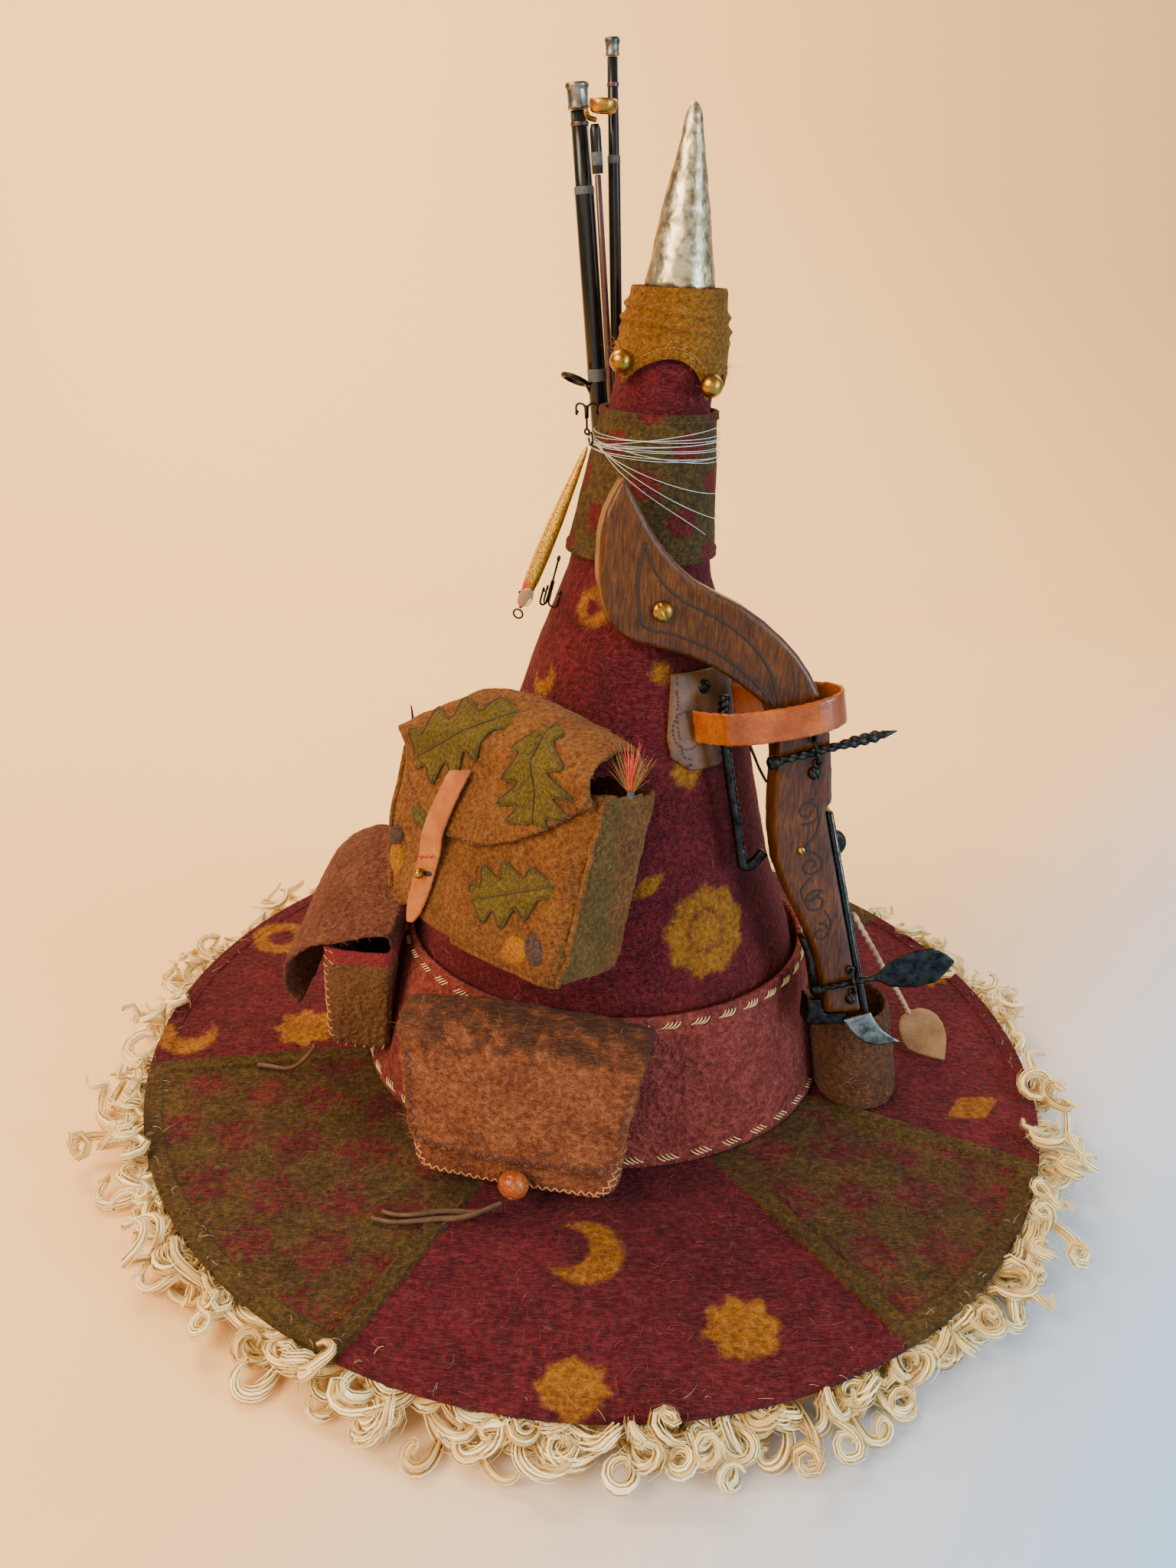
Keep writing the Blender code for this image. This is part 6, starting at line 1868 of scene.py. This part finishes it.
def makeRods():
    for node in ("thick_rod", "thin_rod"):
        form = rodForms[node]
        matrix, length = rodMatrix(form)
        r, shaft = form["radius"], length - form["ferrule"] - 0.3
        step = length * 0.76
        profile = [(r * 0.8, 0.0), (r, 1.6), (r, step - 2.2), (r * 0.95, step - 1.2), (r * 0.88, step),
                   (r * 0.86, shaft - 0.3), (r * 0.7, shaft)]
        turned(node.replace("rod", "cane"), profile, matrix, "lacquer", "black_lacquer", node)
        low = length - form["ferrule"]
        socket = [(r * 0.5, low), (r * 1.06, low), (r * 1.1, low + 0.5), (r * 1.03, low + 1.3),
                  (r * 1.03, length - 3.0), (r * 1.05, length - 2.5), (r * 1.18, length - 1.7),
                  (r * 1.2, length - 1.0), (r * 1.12, length - 0.1), (r * 0.86, length),
                  (r * 0.74, length - 0.4), (r * 0.7, low + 1.6), (r * 0.1, low + 1.6)]
        turned(node.replace("rod", "socket"), socket, matrix, "steel", "dull_steel", node + "_ferrule")
        for at, wide, key in ((0.74, 3.0, "whipping"), (0.262, 5.5, "whipping"), (0.9, 1.6, "bareCane")):
            size = r * (0.9 if at > 0.75 else 1.0) + 0.06
            outline = windings(size, length * at, length * at + wide)
            turned("%s_wrap_%d" % (node, at * 100), outline, matrix, key, "black_lacquer", sides=28)
    matrix, length = rodMatrix(rodForms["tip_rod"])
    cane = [(1.2, 0.0), (1.6, 1.0), (1.45, length * 0.6), (1.28, length - 0.3), (1.0, length)]
    turned("tip_cane", cane, matrix, "bareCane", "black_lacquer", "tip_rod", sides=24)
    sleeve = matrix @ Matrix.Translation(Vector((0, 0, (length + 0.3) * mm)))
    outline = [(2.1, 0.0), (2.3, 0.4), (2.25, 15.8), (2.0, 16.8), (1.6, 18.0), (0.2, 18.0)]
    turned("tip_sleeve", outline, sleeve, "lacquer", "black_lacquer", "tip_rod_sleeve", sides=24)
    turned("tip_wrap", windings(2.28, 3.0, 8.0), sleeve, "whipping", "black_lacquer", sides=24)


def wireRing(name, centre, facing, radius, wire, finish, slot, *nodes):
    turn = Vector(facing).to_track_quat("Z", "Y").to_matrix()
    rings = []
    for k in range(48):
        out = turn @ polar(1.0, tau * k / 48)
        middle = Vector(centre) + out * radius
        rings.append([(middle + out * wire * math.cos(a) + turn @ Vector((0, 0, wire * math.sin(a)))) * mm
                      for a in np.linspace(0, tau, 13)[:-1]])
    skin(name, rings, finish, slot, *nodes, along=True)


def makeGuides():
    wireRing("rod_ring", (-22.4, 24.2, 359.2), (0.35, 0.3, 1.0), 5.6, 1.05, "iron", "black_iron",
             "thick_rod_guide")
    legs = [[Vector(p) * mm for p in ((-17.6, 24.6, 357.6), (-14.4, 25.6, 352.0), (-12.6, 26.2, 347.4))]]
    tubes("ring_legs", legs, 0.6, "iron", 8, "black_iron")
    stand = Matrix.Translation(Vector((-14.4, 14.6, 461.6)) * mm)
    profile = [(3.4, 5.1), (4.4, 5.25), (5.4, 5.1), (5.8, 4.0), (5.5, 2.2),
               (5.0, 0.7), (4.2, 0.1), (3.4, 0.1), (3.05, 2.6)]
    skin("gold_guide", turnedRings(profile, stand, 40), "brass", "satin_gold", "tip_guide", along=True)
    stem = ((-17.4, 17.6, 459.6), (-20.2, 15.0, 460.2), (-21.4, 13.0, 462.6))
    route = smoothRoute([Vector(point) * mm for point in stem], 8)
    tubes("guide_stem", [route], 1.0, "brass", 12, "satin_gold", "tip_guide_stem")


lureForm = {
    "tail": (-15.5, -6.0, 335.0), "nose": (-43.5, -8.0, 262.0), "sides": 40,
    "sections": ((0.0, 0.5), (0.6, 0.9), (4.0, 1.5), (16.0, 2.6), (34.0, 3.85), (50.0, 4.3), (62.0, 4.1),
                 (70.0, 3.2), (75.0, 1.9), (77.0, 0.8)),
}


def makeLure():
    form = lureForm
    tail, nose = Vector(form["tail"]), Vector(form["nose"])
    matrix = (nose - tail).normalized().to_track_quat("Z", "Y").to_matrix().to_4x4()
    matrix.translation = tail * mm
    at, halves = zip(*form["sections"])
    rings, belly, throat = [], [], []
    for distance in np.linspace(0.0, 77.0, 90):
        half = float(np.interp(distance, at, halves))
        ring = []
        for c in range(form["sides"]):
            angle = tau * c / form["sides"]
            place = Vector((half * math.cos(angle), half * 0.82 * math.sin(angle), distance))
            ring.append(matrix @ (place * mm))
            facing = matrix.to_3x3() @ Vector((math.cos(angle), math.sin(angle), 0.0))
            belly.append(smoothStep(0.45, 0.9, facing.y))
            throat.append(smoothStep(61.0, 66.0, distance) * smoothStep(-0.3, 0.4, -facing.x))
        rings.append(ring)
    body = skin("gold_minnow", rings, "minnow", "satin_gold", "lure_body", ends=bothEnds)
    setValues(body, "belly", belly)
    setValues(body, "throat", throat)
    for side in (-1.0, 1.0):
        eye = matrix @ (Vector((-0.6, side * 2.55, 70.5)) * mm)
        name = "minnow_eye_" + ("left" if side < 0 else "right")
        ball(name, eye, 0.85 * mm, "lacquer", "black_lacquer", segments=16, rings=10)
    softCopy("clear_lip", "lure_lip", "lip", "clear_plastic", 0.3, 2, 0.0, 5.0, 1.0)
    wireRing("tail_ring", (-14.1, -6.3, 338.3), (1.0, 0.3, 0.0), 2.6, 0.45, "iron", "black_iron",
             "lure_tail_ring")
    wireRing("nose_ring", (-43.9, -8.1, 260.4), (0.3, 1.0, 0.2), 2.2, 0.42, "iron", "black_iron",
             "lure_nose_ring")
    makeTreble("tail_treble", (-15.8, -8.2, 342.4), (-16.4, -9.2, 352.6), 4.6, "lure_tail_hook")
    makeTreble("belly_treble", (-26.4, -9.0, 285.6), (-31.0, -10.6, 266.0), 4.2, "lure_belly_hook")


def makeTreble(name, eye, bend, spread, node):
    # three hooks soldered round one shank, with barbed points
    eye, bend = Vector(eye), Vector(bend)
    ahead = (bend - eye).normalized()
    turn = ahead.to_track_quat("Z", "Y").to_matrix()
    length = (bend - eye).length
    routes = [[eye * mm, (bend - ahead * 1.5) * mm]]
    routes.append([(eye - ahead * 1.0 + turn @ Vector((1.1 * math.cos(a), 0, 1.1 * math.sin(a)))) * mm
                   for a in np.linspace(0, tau, 13)])
    for k in range(3):
        out = turn @ polar(1.0, math.radians(60 + 120 * k))
        route = [eye.lerp(bend, 0.45) + out * 0.5, bend - ahead * 1.6 + out * 0.6]
        for angle in np.linspace(0.35, math.pi, 9):
            reach = 0.6 + spread / 2 * (1 - math.cos(angle))
            route.append(bend + out * reach - ahead * (1.6 - 1.8 * math.sin(angle)))
        route.append(bend + out * (0.6 + spread) - ahead * (1.6 + 0.30 * length))
        routes.append([p * mm for p in route])
        tip = route[-1]
        routes.append([tip * mm, (tip - out * 1.0 + ahead * 1.7) * mm])
    tubes(name, routes, 0.46, "iron", 8, "black_iron", node)


lineForm = {"gather": math.radians(186), "turns": 12, "wire": 0.15}


def makeLine():
    # clear line wound round the sleeve: the turns gather behind the lure and spread in front
    chance = random.Random(8)
    routes = []
    off = sleeveForm["ease"] + sleeveForm["wall"] + 0.75
    for k in range(lineForm["turns"]):
        gatherAt = 338.0 + chance.uniform(-3.6, 3.6)
        spreadAt = lerp(344.5, 329.0, k / (lineForm["turns"] - 1)) + chance.uniform(-1.2, 1.2)
        if k >= lineForm["turns"] - 2:
            spreadAt = 318.0 if k == lineForm["turns"] - 2 else 306.0
        lean = chance.uniform(-1.2, 1.2)
        route = []
        for step in range(73):
            azimuth = tau * step / 72
            apart = math.sin((azimuth - lineForm["gather"]) / 2) ** 2
            height = lerp(gatherAt, spreadAt, apart ** 0.8) + lean * math.sin(azimuth)
            loose = 0.4 * apart * (k % 3)
            route.append(onCrown(azimuth, height * mm, (off + loose) * mm))
        routes.append(route)
    tail = []
    for step in range(25):
        share = step / 24
        azimuth, height = math.radians(-150 + 112 * share), lerp(338.0, 302.5, share)
        tail.append(onCrown(azimuth, height * mm, (off + 0.6) * mm))
    routes.append(tail)
    knot = onCrown(lineForm["gather"], 338.0 * mm, (off + 0.6) * mm)
    chanceKnot = random.Random(9)
    for k in range(5):
        reach = Vector([chanceKnot.uniform(low, high) for low, high in ((-3, 1), (-7, -2), (-5, 5))])
        end = knot + reach * mm
        routes.append(smoothRoute([knot, knot.lerp(end, 0.5) + Vector((-1.5 * mm, 0, 1.5 * mm)), end], 5))
    tubes("clear_line", routes, lineForm["wire"], "line", 5, "clear_plastic")


def thinning(share):
    return 1.0 - 0.8 * share


def makeFly():
    # a tied fly: a spray of brown hackle with a red tuft, bound at the foot
    matrix = bagFrames["backpack"]
    chance = random.Random(12)
    foot = Vector((66.5, 83.0, 29.0))
    hairs, tuft = [], []
    for k in range(90):
        red = k % 4 == 0
        spread = chance.uniform(-0.30, 0.05) if red else chance.uniform(-0.95, 0.75)
        depth = chance.uniform(-0.25, 0.35)
        length = chance.uniform(13, 21) if red else chance.uniform(10, 23)
        bend = chance.uniform(-3, 3)
        ahead = Vector((math.sin(spread), math.cos(spread), depth)).normalized()
        route = []
        for share in (0.0, 0.25, 0.5, 0.75, 1.0):
            at = foot + ahead * length * share + Vector((bend * share * share, 0.0, 0.0))
            route.append(matrix @ (at * mm))
        (tuft if red else hairs).append(route)
    tubes("fly_hackle", hairs, 0.2, "brownHackle", 4, "dark_leather", "fishing_fly", taper=thinning)
    tubes("fly_tuft", tuft, 0.3, "redHackle", 4, "dark_leather", taper=thinning)
    bound = [[matrix @ ((foot + Vector((1.2 * math.cos(a), -1.2 + a * 0.11, 1.2 * math.sin(a)))) * mm)
              for a in np.linspace(0, 4 * tau, 60)]]
    tubes("fly_binding", bound, 0.3, "whipping", 6, "dark_leather")
    line = [Vector((lerp(-65.0, -78.0, t), lerp(60.0, 91.0, t), 24.0 + 0.6 * math.sin(5 * t)))
            for t in np.linspace(0, 1, 14)]
    spike = [matrix @ (point * mm) for point in line]
    tubes("iron_thorn", [spike], 2.2, "iron", 14, "black_iron", "iron_spike",
          taper=lambda share: 1.0 - 0.86 * share)


makeRods()
makeGuides()
makeLure()
makeLine()
makeFly()
say("rods, lure and line are tied on")
